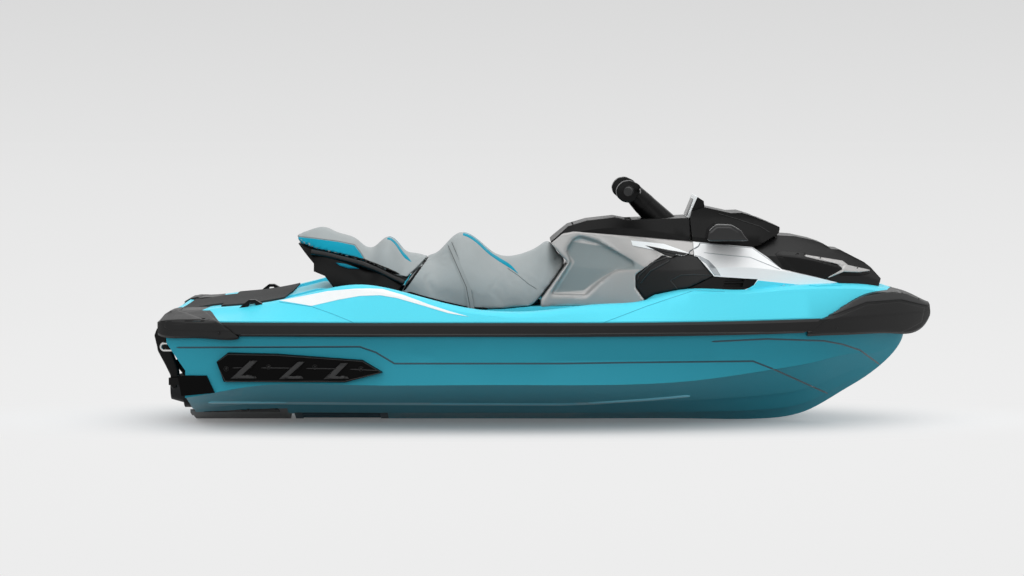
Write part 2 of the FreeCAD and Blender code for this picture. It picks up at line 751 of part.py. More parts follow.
def make_pump_housing():
    body = add_body("pump_housing")
    wall = add_jet_sketch(body, "pump_wall_profile")
    draw_outline(wall, [
        ("Sizes.tunnel_front", "Sizes.pump_bore_radius"),
        ("Sizes.tunnel_front", "Sizes.pump_flange_radius"),
        ("Sizes.tunnel_front - Sizes.pump_flange_gauge", "Sizes.pump_flange_radius"),
        ("Sizes.tunnel_front - Sizes.pump_flange_gauge", "Sizes.pump_bore_radius + Sizes.pump_wall"),
        ("Sizes.pump_aft", "Sizes.pump_bore_radius + Sizes.pump_wall"),
        ("Sizes.venturi_neck", "Sizes.venturi_radius + Sizes.venturi_wall"),
        ("Sizes.venturi_aft", "Sizes.venturi_radius + Sizes.venturi_wall"),
        ("Sizes.venturi_aft", "Sizes.venturi_radius"),
        ("Sizes.venturi_neck", "Sizes.venturi_radius"),
        ("Sizes.pump_aft", "Sizes.pump_bore_radius"),
    ])
    add_revolution(body, "pump_shell", wall)
    vane = add_jet_sketch(body, "stator_vane_profile")
    draw_outline(vane, [
        ("Sizes.pump_aft", "Sizes.stator_hub_radius / 2"),
        ("Sizes.pump_aft + Sizes.stator_length", "Sizes.stator_hub_radius / 2"),
        ("Sizes.pump_aft + Sizes.stator_length", "Sizes.pump_bore_radius + Sizes.pump_wall / 2"),
        ("Sizes.pump_aft", "Sizes.pump_bore_radius + Sizes.pump_wall / 2"),
    ])
    pad = body.newObject("PartDesign::Pad", "stator_vane")
    pad.Profile = vane
    pad.setExpression("Length", "Sizes.stator_gauge")
    pad.Midplane = True
    add_polar(body, "stator_vanes", pad, vane, int(s.stator_count))
    hub = add_jet_sketch(body, "stator_hub_profile")
    draw_outline(hub, [
        ("Sizes.pump_aft + Sizes.stator_length", "0"),
        ("Sizes.pump_aft + Sizes.stator_length", "Sizes.stator_hub_radius"),
        ("Sizes.pump_aft", "Sizes.stator_hub_radius"),
        ("Sizes.venturi_neck", "0"),
    ])
    add_revolution(body, "stator_hub", hub)
    root = add_jet_sketch(body, "ear_root_profile")
    draw_outline(root, [
        ("Sizes.pump_aft", "-Sizes.ear_height / 2"),
        ("Sizes.pump_aft + Sizes.ear_height", "-Sizes.ear_height / 2"),
        ("Sizes.pump_aft + Sizes.ear_height", "Sizes.ear_height / 2"),
        ("Sizes.pump_aft", "Sizes.ear_height / 2"),
    ])
    root.setExpression("AttachmentOffset.Base.z", "-Sizes.ear_inner - Sizes.ear_gauge")
    depth = "Sizes.ear_inner + Sizes.ear_gauge - Sizes.pump_bore_radius - Sizes.pump_wall / 2"
    base = add_pad(body, "ear_root", root, depth)
    ears = add_jet_sketch(body, "ear_profile")
    draw_outline(ears, [
        ("Sizes.pump_aft + Sizes.ear_height", "-Sizes.ear_height / 2"),
        ("Sizes.pump_aft + Sizes.ear_height", "Sizes.ear_height / 2"),
        ("Sizes.jet_pivot - Sizes.ear_height / 2", "Sizes.ear_height / 2"),
        ("Sizes.jet_pivot - Sizes.ear_height / 2", "-Sizes.ear_height / 2"),
    ])
    ears.setExpression("AttachmentOffset.Base.z", "-Sizes.ear_inner - Sizes.ear_gauge")
    ear = add_pad(body, "ear", ears, "Sizes.ear_gauge")
    add_mirror(body, "both_ears", [base, ear])
    holes = add_jet_sketch(body, "pin_holes")
    draw_circle(holes, "Sizes.jet_pivot", "0", "Sizes.pin_radius + Sizes.pin_clearance")
    add_through_pocket(body, "pin_bores", holes)
    return body


def add_pad(body, name, sketch, length, midplane=False):
    pad = body.newObject("PartDesign::Pad", name)
    pad.Profile = sketch
    pad.setExpression("Length", length)
    pad.Midplane = midplane
    document.recompute()
    return pad


def add_mirror(body, name, features):
    """Repeat features of the starboard side to port."""
    mirror = body.newObject("PartDesign::Mirrored", name)
    mirror.Originals = features
    plane = [feature for feature in body.Origin.OriginFeatures if feature.Role == "XZ_Plane"][0]
    mirror.MirrorPlane = (plane, [""])
    body.Tip = mirror
    document.recompute()
    return mirror


def add_through_pocket(body, name, sketch):
    pocket = body.newObject("PartDesign::Pocket", name)
    pocket.Profile = sketch
    pocket.Type = "ThroughAll"
    pocket.Midplane = True
    document.recompute()
    return pocket


def make_trim_ring():
    body = add_body("trim_ring")
    profile = add_jet_sketch(body, "ring_profile")
    draw_outline(profile, [
        ("Sizes.jet_pivot - Sizes.trim_ring_width / 2", "Sizes.trim_ring_inner"),
        ("Sizes.jet_pivot + Sizes.trim_ring_width / 2", "Sizes.trim_ring_inner"),
        ("Sizes.jet_pivot + Sizes.trim_ring_width / 2", "Sizes.trim_ring_outer"),
        ("Sizes.jet_pivot - Sizes.trim_ring_width / 2", "Sizes.trim_ring_outer"),
    ])
    add_revolution(body, "ring", profile)
    pin = add_jet_sketch(body, "trim_pin_profile")
    pin.setExpression("AttachmentOffset.Base.z", "Sizes.trim_ring_inner + Sizes.pin_radius / 4")
    draw_circle(pin, "Sizes.jet_pivot", "0", "Sizes.pin_radius")
    reach = "Sizes.ear_inner + Sizes.ear_gauge - Sizes.trim_ring_inner"
    add_mirror(body, "both_trim_pins", [add_pad(body, "trim_pin", pin, reach)])
    holes = add_sketch(body, "steering_pin_holes", "XY_Plane")
    draw_circle(holes, "Sizes.jet_pivot", "0", "Sizes.pin_radius + Sizes.pin_clearance")
    add_through_pocket(body, "steering_pin_bores", holes)
    return body


def make_steering_nozzle():
    body = add_body("steering_nozzle")
    profile = add_jet_sketch(body, "nozzle_profile")
    draw_outline(profile, [
        ("Sizes.jet_pivot + Sizes.nozzle_lead", "Sizes.nozzle_inlet"),
        ("Sizes.jet_pivot + Sizes.nozzle_lead", "Sizes.nozzle_inlet + Sizes.nozzle_wall"),
        ("Sizes.jet_pivot - Sizes.nozzle_lead", "Sizes.nozzle_inlet + Sizes.nozzle_wall"),
        ("Sizes.jet_pivot - Sizes.nozzle_length", "Sizes.nozzle_outlet + Sizes.nozzle_wall"),
        ("Sizes.jet_pivot - Sizes.nozzle_length", "Sizes.nozzle_outlet"),
        ("Sizes.jet_pivot - Sizes.nozzle_lead", "Sizes.nozzle_inlet"),
    ])
    add_revolution(body, "nozzle_shell", profile)
    pins = add_sketch(body, "steering_pin_profile", "XY_Plane")
    pins.setExpression("AttachmentOffset.Base.z",
                       "Sizes.shaft_height + Sizes.nozzle_inlet + Sizes.nozzle_wall / 2")
    draw_circle(pins, "Sizes.jet_pivot", "0", "Sizes.pin_radius")
    reach = "Sizes.trim_ring_outer - Sizes.nozzle_inlet - Sizes.nozzle_wall / 2"
    add_pad(body, "upper_steering_pin", pins, reach)
    lower = add_sketch(body, "lower_pin_profile", "XY_Plane")
    lower.setExpression("AttachmentOffset.Base.z", "Sizes.shaft_height - Sizes.trim_ring_outer")
    draw_circle(lower, "Sizes.jet_pivot", "0", "Sizes.pin_radius")
    add_pad(body, "lower_steering_pin", lower, reach)
    return body


BLADE_STEPS = 4


def blade(angle):
    """Twisted blade between the hub and the tip circle, lofted through turned sections."""
    tip = s.pump_bore_radius - s.impeller_tip_gap
    root = s.impeller_hub_radius / 2
    half = s.blade_gauge / 2
    wires = []
    for step in range(BLADE_STEPS + 1):
        x = s.impeller_front - s.impeller_length * step / BLADE_STEPS
        corners = [Vector(x, root, -half), Vector(x, tip, -half), Vector(x, tip, half), Vector(x, root, half)]
        wire = Part.makePolygon(corners + corners[:1])
        wire.rotate(Vector(0, 0, 0), Vector(1, 0, 0), angle + s.blade_twist * step / BLADE_STEPS)
        wires.append(wire)
    return Part.makeLoft(wires, True, False)


def make_impeller():
    aft = s.impeller_front - s.impeller_length
    hub = Part.makeCylinder(s.impeller_hub_radius, s.impeller_length, Vector(aft, 0, 0), Vector(1, 0, 0))
    nose = Part.makeCone(s.impeller_hub_radius, s.shaft_radius, s.impeller_hub_radius,
                         Vector(s.impeller_front, 0, 0), Vector(1, 0, 0))
    count = int(s.blade_count)
    blades = [blade(360 * index / count) for index in range(count)]
    tip = Part.makeCylinder(s.pump_bore_radius - s.impeller_tip_gap, s.impeller_length,
                            Vector(aft, 0, 0), Vector(1, 0, 0))
    wheel = hub.fuse([piece.common(tip) for piece in blades] + [nose])
    return add_node("impeller", moved(wheel, z=s.shaft_height))


def make_drive_shaft():
    start = Vector(s.impeller_front + s.impeller_hub_radius, 0, s.shaft_height)
    length = s.engine_aft - s.seat_gap - start.x
    return add_node("drive_shaft", Part.makeCylinder(s.shaft_radius, length, start, Vector(1, 0, 0)))


LUG_RADII = 2


def make_reverse_gate():
    """Curved bucket on two cheeks, parked above the nozzle."""
    pivot = Vector(s.gate_pivot, 0, s.shaft_height)
    outer = s.gate_radius + s.gate_wall
    along = Vector(0, 1, 0)
    start = Vector(pivot.x, -s.gate_half_width, pivot.z)
    ring = Part.makeCylinder(outer, 2 * s.gate_half_width, start, along)
    ring = ring.cut(Part.makeCylinder(s.gate_radius, 2 * s.gate_half_width, start, along))
    reach = 2 * outer

    def ray(degrees):
        angle = math.radians(degrees)
        return pivot + Vector(-reach * math.cos(angle), 0, reach * math.sin(angle))

    middle = s.gate_start + s.gate_sweep / 2
    wedge = prism([pivot, ray(s.gate_start), ray(middle), ray(s.gate_start + s.gate_sweep)], s.beam)
    shell = ring.common(wedge)
    side = Vector(pivot.x, s.gate_half_width - s.gate_cheek, pivot.z)
    lug = Part.makeCylinder(LUG_RADII * s.pin_radius, s.gate_cheek, side, along)
    cheek = Part.makeCylinder(outer, s.gate_cheek, side, along).common(wedge).fuse(lug)
    hole = Part.makeCylinder(s.pin_radius + s.pin_clearance, s.beam,
                             Vector(pivot.x, -half_beam_at(1), pivot.z), along)
    return add_node("reverse_gate", shell.fuse([cheek, mirrored(cheek)]).cut(hole))


def make_gate_pins():
    """Pins from the tunnel walls that carry the reverse gate."""
    start = Vector(s.gate_pivot, s.gate_half_width - s.gate_cheek, s.shaft_height)
    length = s.tunnel_half_width - start.y
    pin = Part.makeCylinder(s.pin_radius, length, start, Vector(0, 1, 0))
    collar_start = s.gate_half_width + s.seat_gap
    collar = Part.makeCylinder(LUG_RADII * s.pin_radius, s.tunnel_half_width - collar_start,
                               Vector(start.x, collar_start, start.z), Vector(0, 1, 0))
    return add_node("gate_pins", both_sides(pin.fuse(collar)))


# Boarding ladder

LADDER_OUTER_SHARES = [
    (0.0270, 0.142), (0.0105, 0.068), (0.0070, -0.027), (0.0110, -0.212), (0.0210, -0.322),
    (0.0270, -0.395), (0.0265, -0.468), (0.0300, -0.500),
]
LADDER_INNER_SHARES = [
    (0.0350, -0.485), (0.0390, -0.420), (0.0375, -0.330), (0.0270, -0.175), (0.0240, -0.027), (0.0290, 0.060),
    (0.0330, 0.120),
]
LADDER_STEP_SHARE = 0.30
LADDER_PIVOT_SHARES = (0.0301, -0.435)
LADDER_ROD_SHARES = (0.0180, -0.150)


def ladder_zone():
    return prism(side_points(LADDER_OUTER_SHARES + LADDER_INNER_SHARES), s.beam)


def ladder_pivot():
    return Vector(length_at(LADDER_PIVOT_SHARES[0]), 0, upper_z(LADDER_PIVOT_SHARES[1]))


def make_ladder():
    """Two shaped arms, a wide top step and a round one, folded up against the stern."""
    pivot = ladder_pivot()
    inner = s.ladder_half_width - s.ladder_arm / 2
    outer = s.ladder_half_width + s.ladder_arm / 2
    outline = ladder_zone()
    top = outline.BoundBox.ZMax
    arm = outline.common(box(-s.overrun, s.overall_length, inner, outer, 0, s.overall_length))
    step = outline.common(box(-s.overrun, s.overall_length, -outer, outer,
                              top - LADDER_STEP_SHARE * (top - pivot.z), s.overall_length))
    middle = side_points([LADDER_ROD_SHARES])[0]
    rod = Part.makeCylinder(s.ladder_rod, 2 * inner, middle - Vector(0, inner, 0), Vector(0, 1, 0))
    hole = Part.makeCylinder(s.ladder_pin_radius + s.pin_clearance, s.beam,
                             Vector(pivot.x, -half_beam_at(1), pivot.z), Vector(0, 1, 0))
    return add_node("boarding_ladder", step.fuse([arm, mirrored(arm), rod]).cut(hole))


def make_ladder_brackets():
    """Plates beside the ladder's arms, with the pins, standing off the transom."""
    outer = s.ladder_half_width + s.ladder_arm / 2
    inner = s.ladder_half_width - s.ladder_arm / 2
    start = outer + s.seat_gap
    half = LUG_RADII * s.ladder_pin_radius
    pivot = ladder_pivot()
    pin = Part.makeCylinder(s.ladder_pin_radius, start - inner, pivot + Vector(0, inner, 0), Vector(0, 1, 0))
    plate = box(pivot.x - half, raw_hull.BoundBox.XMin + 2 * s.overrun, start, start + s.ladder_bracket_gauge,
                pivot.z - half, pivot.z + half)
    return add_node("ladder_brackets", both_sides(pin.fuse(plate).cut(raw_hull)))


# Superstructure: outlines in the side view, and the widths that they are cut from

CONSOLE_WIDTH_SHARES = [
    # length, then half-width and height at the foot, the knee and the shoulder, and the crown
    (0.485, (0.330, 0.050), (0.330, 0.350), (0.270, 0.600), 0.950),
    (0.536, (0.310, 0.050), (0.305, 0.400), (0.265, 0.670), 0.950),
    (0.580, (0.320, 0.050), (0.315, 0.380), (0.250, 0.660), 0.950),
    (0.623, (0.440, 0.050), (0.420, 0.380), (0.270, 0.660), 0.950),
    (0.690, (0.640, 0.050), (0.590, 0.400), (0.340, 0.620), 0.950),
    (0.742, (0.660, 0.050), (0.600, 0.420), (0.380, 0.620), 0.950),
    (0.783, (0.600, 0.050), (0.540, 0.400), (0.370, 0.560), 0.950),
    (0.826, (0.480, 0.050), (0.430, 0.360), (0.310, 0.500), 0.950),
    (0.880, (0.310, 0.050), (0.270, 0.300), (0.190, 0.400), 0.950),
]
CONSOLE_LINE_SHARES = [(0.701, 0.581), (0.690, 0.587), (0.578, 0.637), (0.540, 0.656), (0.526, 0.640),
                       (0.511, 0.570)]
CONSOLE_REAR_SHARES = [(0.5245, 0.474), (0.5325, 0.432), (0.4985, 0.169), (0.4965, 0.060)]
POD_SHARES = [(0.618, 0.351), (0.652, 0.494), (0.660, 0.472), (0.677, 0.510), (0.694, 0.488), (0.713, 0.356),
              (0.681, 0.263), (0.631, 0.153), (0.618, 0.252)]
VENT_SHARES = [(0.713, 0.356), (0.768, 0.333), (0.762, 0.284), (0.745, 0.248), (0.681, 0.263)]
CONSOLE_FRONT_SHARE = 0.690
FENDER_NOSE_SHARES = [(0.765, 0.548), (0.782, 0.483), (0.801, 0.391), (0.848, 0.325), (0.874, 0.286)]
FENDER_BASE_SHARE = 0.150


def width_loft(rows, grow=0):
    """Form with these half-widths, or one that stands out from it by the growth."""
    sections = []
    for x, foot, knee, shoulder, crown in rows:
        half = [(0, upper_z(foot[1]))]
        half += [(half_beam_at(y) + grow, upper_z(z)) for y, z in (foot, knee, shoulder)]
        half += [(half_beam_at(shoulder[0]) * CROWN_WIDTH_SHARE + grow, upper_z(crown)), (0, upper_z(crown))]
        sections.append((length_at(x), half))
    return cross_loft(sections)


CROWN_WIDTH_SHARE = 0.55

console_form = width_loft(CONSOLE_WIDTH_SHARES)


def laid_on(rows, shares, gauge, depth=0):
    """Pair of plates with this side view, which follow the form's sides and stand out by the gauge.

    They lie on the form's side, or on the floor of a recess of the depth given."""
    floor = width_loft(rows, s.seat_gap - depth)
    return width_loft(rows, gauge - depth).common(side_prism(shares)).cut(floor)


CONSOLE_NOSE_SHARES = [(0.631, 0.060), (0.631, 0.200), (CONSOLE_FRONT_SHARE, 0.400)]
KNEE_PAD_SHARES = [(0.5106, 0.200), (0.5360, 0.436), (0.5309, 0.514), (0.5394, 0.602), (0.5479, 0.622),
                   (0.5700, 0.583), (0.6142, 0.440), (0.6170, 0.400), (0.5905, 0.367), (0.5701, 0.279),
                   (0.5548, 0.191)]
BLADE_SHARES = [(0.6124, 0.592), (0.6532, 0.573), (0.6838, 0.514), (0.6770, 0.491), (0.6141, 0.557)]


def make_console_sides():
    outline = side_prism(CONSOLE_NOSE_SHARES + CONSOLE_LINE_SHARES[1:] + CONSOLE_REAR_SHARES)
    space = [raw_deck_cut, side_prism(POD_SHARES), console_top_outline(), glovebox_space(), column_neck()]
    space.append(side_prism(KNEE_PAD_SHARES).cut(width_loft(CONSOLE_WIDTH_SHARES, -s.knee_depth)))
    return add_node("console_sides", console_form.common(outline).cut(space))


def make_knee_pads():
    return add_node("knee_pads", laid_on(CONSOLE_WIDTH_SHARES, KNEE_PAD_SHARES, s.pad_gauge, s.knee_depth))


def make_console_blades():
    return add_node("console_blades", laid_on(CONSOLE_WIDTH_SHARES, BLADE_SHARES, s.trim_gauge))


def make_speaker_pods():
    return add_node("speaker_pods", console_form.common(side_prism(POD_SHARES)).cut(raw_deck_cut))


VENT_SLOT_SHARES = [
    [(0.7260, 0.318), (0.7290, 0.350), (0.7519, 0.346), (0.7500, 0.318)],
    [(0.7237, 0.280), (0.7255, 0.308), (0.7496, 0.308), (0.7485, 0.280)],
]


def make_side_vents():
    """Pair of dark panels behind the fenders, each with two air slots."""
    core = width_loft(CONSOLE_WIDTH_SHARES, -s.vent_depth)
    slots = [side_prism(slot).cut(core) for slot in VENT_SLOT_SHARES]
    space = [side_prism(POD_SHARES), front_bin_space(), raw_deck_cut]
    return add_node("side_vents", console_form.common(side_prism(VENT_SHARES)).cut(space + slots))


def make_front_fenders():
    foot = [(FENDER_NOSE_SHARES[-1][0], FENDER_BASE_SHARE), (CONSOLE_FRONT_SHARE, FENDER_BASE_SHARE)]
    top = [(CONSOLE_FRONT_SHARE, CONSOLE_LINE_SHARES[1][1]), CONSOLE_LINE_SHARES[0]]
    outline = side_prism(top + FENDER_NOSE_SHARES + foot)
    space = [side_prism(POD_SHARES), side_prism(VENT_SHARES), front_bin_space(), raw_deck_cut]
    return add_node("front_fenders", console_form.common(outline).cut(space))


TOP_WIDTH_SHARES = [
    (0.500, (0.200, 0.450), (0.195, 0.560), (0.130, 0.640), 1.100),
    (0.536, (0.260, 0.450), (0.250, 0.640), (0.160, 0.720), 1.100),
    (0.592, (0.240, 0.450), (0.225, 0.680), (0.170, 0.760), 1.100),
    (0.640, (0.280, 0.450), (0.260, 0.660), (0.190, 0.760), 1.100),
    (0.690, (0.330, 0.450), (0.320, 0.620), (0.230, 0.760), 1.100),
    (0.740, (0.360, 0.450), (0.350, 0.600), (0.240, 0.760), 1.100),
    (0.775, (0.350, 0.450), (0.330, 0.580), (0.230, 0.740), 1.100),
    (0.810, (0.330, 0.450), (0.300, 0.560), (0.200, 0.700), 1.100),
]
TOP_LINE_SHARES = [(0.511, 0.582), (0.533, 0.690), (0.557, 0.731), (0.592, 0.754), (0.608, 0.736),
                   (0.6865, 0.754)]
LID_TOP_SHARES = [(0.688, 0.743), (0.690, 0.800), (0.707, 0.830), (0.740, 0.788), (0.754, 0.791),
                  (0.768, 0.765), (0.802, 0.686), (0.802, 0.669), (0.800, 0.642), (0.775, 0.564)]
LID_FOOT_SHARES = FENDER_NOSE_SHARES[:1] + CONSOLE_LINE_SHARES[:2]
NECK_FOOT_SHARE = 1.2
COLUMN_FOOT_SHARES = (0.65072, 0.73333)
CEILING_SHARE = 2


def column_axis():
    angle = math.radians(s.column_lean)
    return Vector(-math.sin(angle), 0, math.cos(angle))


def column_point(reach):
    """Point on the column, from where it meets the console top."""
    return side_points([COLUMN_FOOT_SHARES])[0] + column_axis() * reach


GLOVEBOX_LID_SHARES = (0.540, 0.606)
GLOVEBOX_HALF_SHARE = 0.150
GLOVEBOX_GAUGE_SHARE = 0.045
GLOVEBOX_FLOOR_SHARE = 0.500
GLOVEBOX_HINGE_SHARES = (0.6052, 0.7270)
GLOVEBOX_KNUCKLE_SHARE = 0.090
GLOVEBOX_FOOT_SHARES = (4.5, -1.0)

top_form = width_loft(TOP_WIDTH_SHARES)


def glovebox_zone(gap):
    """Slab of the console top that the glovebox lid fills, grown by the gap on its sides."""
    aft, front = [length_at(share) for share in GLOVEBOX_LID_SHARES]
    half = half_beam_at(GLOVEBOX_HALF_SHARE) + gap
    return box(aft - gap, front + gap, -half, half, 0, s.overall_length)


def glovebox_space():
    """The bin under the glovebox lid."""
    aft, front = [length_at(share) for share in GLOVEBOX_LID_SHARES]
    half = half_beam_at(GLOVEBOX_HALF_SHARE) - s.bin_wall / 2
    return box(aft + s.bin_wall, front - s.bin_wall, -half, half, upper_z(GLOVEBOX_FLOOR_SHARE), upper_z(1))


def hinge_pivot(shares):
    return side_points([shares])[0]


def across(pivot, radius, start, width):
    """Round bar along a hinge's axis, from one place across the craft to another."""
    return Part.makeCylinder(radius, width, Vector(pivot.x, start, pivot.z), Vector(0, 1, 0))


def hinge_foot(pivot, place, foot, gap=0):
    """Leg of a fixed barrel, from the hinge's axis to the corner given, grown by the gap."""
    start = half_beam_at(place)
    x0, x1 = sorted((pivot.x + s.knuckle_radius * foot[0], pivot.x))
    z0, z1 = sorted((pivot.z + s.knuckle_radius * foot[1], pivot.z))
    return box(x0 - gap, x1 + gap, start - gap, start + s.knuckle_width + gap, z0, z1)


def hinge_knuckle(pivot, place, foot):
    """Fixed barrel of a hinge with its pin, on a foot that reaches to the corner given."""
    start = half_beam_at(place)
    barrel = across(pivot, s.knuckle_radius, start, s.knuckle_width)
    pin = across(pivot, s.hinge_pin_radius, start - s.knuckle_width, 3 * s.knuckle_width)
    return both_sides(barrel.fuse([pin, hinge_foot(pivot, place, foot)]))


def hinge_relief(pivot, place, foot):
    """Room in a lid for the fixed barrel and its foot, and the bore for its pin."""
    start = half_beam_at(place)
    room = across(pivot, s.knuckle_radius + s.swing_gap, start - s.seat_gap, s.knuckle_width + 2 * s.seat_gap)
    bore = across(pivot, s.hinge_pin_radius + s.pin_clearance, start - s.knuckle_width - s.seat_gap,
                  3 * s.knuckle_width + 2 * s.seat_gap)
    return both_sides(room.fuse([bore, hinge_foot(pivot, place, foot, s.seat_gap)]))


def column_neck():
    """Fixed foot of the column, flared where it stands on the console top."""
    start = column_point(-s.column_radius)
    return Part.makeCone(NECK_FOOT_SHARE * s.column_radius, s.column_radius, s.column_radius + s.neck_length,
                         start, column_axis())


def glovebox_floor():
    """Side view of everything below the glovebox lid."""
    line = [(x, z - GLOVEBOX_GAUGE_SHARE) for x, z in TOP_LINE_SHARES]
    return side_points(line)


def lid_outline():
    return side_prism(LID_TOP_SHARES + LID_FOOT_SHARES)


TOP_CORNER_SHARES = (0.6865, 0.5886)


def console_top_outline():
    return side_prism(TOP_LINE_SHARES + [TOP_CORNER_SHARES] + CONSOLE_LINE_SHARES[2:])


def space_above(line):
    """Everything above the side view's line, past the craft's highest point."""
    ceiling = upper_z(CEILING_SHARE)
    return prism(line + [Vector(line[-1].x, 0, ceiling), Vector(line[0].x, 0, ceiling)], s.beam)


def make_console_top():
    well = glovebox_zone(s.swing_gap).common(space_above(glovebox_floor()))
    pivot = hinge_pivot(GLOVEBOX_HINGE_SHARES)
    half = half_beam_at(GLOVEBOX_HALF_SHARE) + s.swing_gap
    sweep = across(pivot, GLOVEBOX_GAUGE_SHARE * s.topside_height + s.swing_gap, -half, 2 * half)
    shape = top_form.common(console_top_outline()).cut([well, sweep, glovebox_space()])
    shape = shape.fuse(hinge_knuckle(pivot, GLOVEBOX_KNUCKLE_SHARE, GLOVEBOX_FOOT_SHARES))
    return add_node("console_top", shape.fuse(column_neck()))


def make_glovebox_lid():
    lifted = [p + Vector(0, 0, s.seat_gap) for p in glovebox_floor()]
    shape = top_form.common(console_top_outline()).common(glovebox_zone(0)).common(space_above(lifted))
    relief = hinge_relief(hinge_pivot(GLOVEBOX_HINGE_SHARES), GLOVEBOX_KNUCKLE_SHARE, GLOVEBOX_FOOT_SHARES)
    return add_node("glovebox_lid", shape.cut(relief))


LID_HINGE_SHARES = (0.7991, 0.6550)
LID_KNUCKLE_SHARE = 0.200
LID_FOOT_REACH_SHARES = (-1.0, -3.5)


def make_storage_lid():
    shape = moved(top_form.common(lid_outline()), z=s.seat_gap)
    relief = hinge_relief(hinge_pivot(LID_HINGE_SHARES), LID_KNUCKLE_SHARE, LID_FOOT_REACH_SHARES)
    return add_node("storage_lid", shape.cut(relief))


GAUGE_SHARES = [(0.690, 0.8005), (0.698, 0.904), (0.706, 0.874), (0.707, 0.8305)]
GAUGE_HALF_SHARE = 0.180


def make_gauge():
    outline = side_prism(GAUGE_SHARES)
    half = half_beam_at(GAUGE_HALF_SHARE)
    return add_node("gauge", moved(outline.common(box(0, s.overall_length, -half, half, 0, s.overall_length)),
                                   z=s.seat_gap))


MIRROR_SHARES = [(0.703, 0.610), (0.705, 0.686), (0.714, 0.734), (0.734, 0.729), (0.746, 0.686), (0.750, 0.645),
                 (0.756, 0.612)]
MIRROR_SPAN_SHARES = (0.430, 0.690)
STALK_SHARES = [(0.706, 0.612), (0.709, 0.665), (0.735, 0.655), (0.737, 0.612)]
STALK_ROOT_SHARE = 0.280


def make_mirrors():
    inner, outer = [half_beam_at(share) for share in MIRROR_SPAN_SHARES]
    shell = side_prism(MIRROR_SHARES).common(box(0, s.overall_length, inner, outer, 0, s.overall_length))
    root = half_beam_at(STALK_ROOT_SHARE)
    stalk = side_prism(STALK_SHARES).common(box(0, s.overall_length, root, inner, 0, s.overall_length))
    shape = shell.fuse(stalk).cut(top_form.common(lid_outline()))
    return add_node("mirrors", moved(both_sides(shape), z=s.seat_gap))


HOOD_WIDTH_SHARES = [
    (0.760, (0.420, 0.200), (0.380, 0.500), (0.240, 0.600), 0.700),
    (0.800, (0.400, 0.200), (0.360, 0.480), (0.220, 0.600), 0.700),
    (0.845, (0.350, 0.200), (0.310, 0.440), (0.180, 0.560), 0.700),
    (0.881, (0.290, 0.200), (0.250, 0.380), (0.150, 0.500), 0.700),
    (0.915, (0.210, 0.200), (0.180, 0.320), (0.110, 0.410), 0.700),
    (0.940, (0.130, 0.200), (0.110, 0.260), (0.070, 0.320), 0.700),
]
HOOD_TOP_SHARES = [(0.775, 0.553), (0.800, 0.624), (0.823, 0.616), (0.845, 0.589), (0.859, 0.562),
                   (0.870, 0.521), (0.881, 0.516), (0.913, 0.422), (0.922, 0.382), (0.935, 0.300),
                   (0.930, 0.230)]


HOOD_INSERT_SHARES = [(0.7966, 0.502), (0.8323, 0.482), (0.8802, 0.394), (0.8650, 0.316), (0.8200, 0.370)]
HOOD_BLADE_SHARES = [(0.8355, 0.477), (0.8800, 0.434), (0.9195, 0.340), (0.9041, 0.330), (0.8780, 0.336),
                     (0.8840, 0.398)]


def make_front_hood():
    foot = [(FENDER_NOSE_SHARES[-1][0], HOOD_TOP_SHARES[-1][1])] + list(reversed(FENDER_NOSE_SHARES))
    shape = width_loft(HOOD_WIDTH_SHARES).common(side_prism(HOOD_TOP_SHARES + foot))
    knuckle = hinge_knuckle(hinge_pivot(LID_HINGE_SHARES), LID_KNUCKLE_SHARE, LID_FOOT_REACH_SHARES)
    return add_node("front_hood", shape.cut([raw_deck_cut, front_bin_space()]).fuse(knuckle))


def make_hood_inserts():
    return add_node("hood_inserts", laid_on(HOOD_WIDTH_SHARES, HOOD_INSERT_SHARES, s.trim_gauge))


def make_hood_blades():
    return add_node("hood_blades", laid_on(HOOD_WIDTH_SHARES, HOOD_BLADE_SHARES, s.trim_gauge))


# Seats

SEAT_WIDTH_SHARES = [
    # length, then half-width at the foot, the bulge and the shoulder
    (0.180, 0.250, 0.300, 0.220),
    (0.230, 0.290, 0.330, 0.260),
    (0.290, 0.310, 0.345, 0.250),
    (0.350, 0.330, 0.350, 0.250),
    (0.400, 0.340, 0.350, 0.220),
    (0.450, 0.330, 0.335, 0.250),
    (0.500, 0.320, 0.310, 0.220),
    (0.540, 0.310, 0.300, 0.200),
]
SEAT_SECTION_SHARES = (0.45, 0.82, 0.97)
REAR_TOP_SHARES = [(0.183, 0.606), (0.205, 0.638), (0.223, 0.656), (0.233, 0.630), (0.261, 0.570),
                   (0.271, 0.522), (0.284, 0.520), (0.300, 0.592), (0.304, 0.590), (0.324, 0.485),
                   (0.335, 0.471), (0.3535, 0.467)]
REAR_LINE_SHARES = [(0.3295, 0.318), (0.317, 0.330), (0.299, 0.378), (0.276, 0.426), (0.242, 0.486),
                    (0.212, 0.523), (0.188, 0.560)]
REAR_BASE_SHARES = [(0.210, 0.423), (0.210, 0.367), (0.224, 0.335)] + REAR_FOOT_SHARES
DRIVER_TOP_SHARES = [(0.3560, 0.463), (0.364, 0.472), (0.376, 0.536), (0.397, 0.626), (0.402, 0.623),
                     (0.442, 0.463), (0.473, 0.463), (0.486, 0.491), (0.495, 0.523), (0.504, 0.570),
                     (0.508, 0.568), (0.523, 0.472), (0.531, 0.432)]
DRIVER_NOSE_SHARES = [(0.497, 0.169), (0.490, 0.125)]

SEAT_MARGIN_SHARES = [(0.170, 0.590), (0.360, 0.467), (0.310, 0.463)]

STRAP_SHARES = [(0.3774, 0.800), (0.3774, 0.568), (0.3896, 0.401), (0.4021, 0.234), (0.4072, 0.040),
                (0.4151, 0.040), (0.4107, 0.234), (0.3971, 0.411), (0.3852, 0.578), (0.3852, 0.800)]


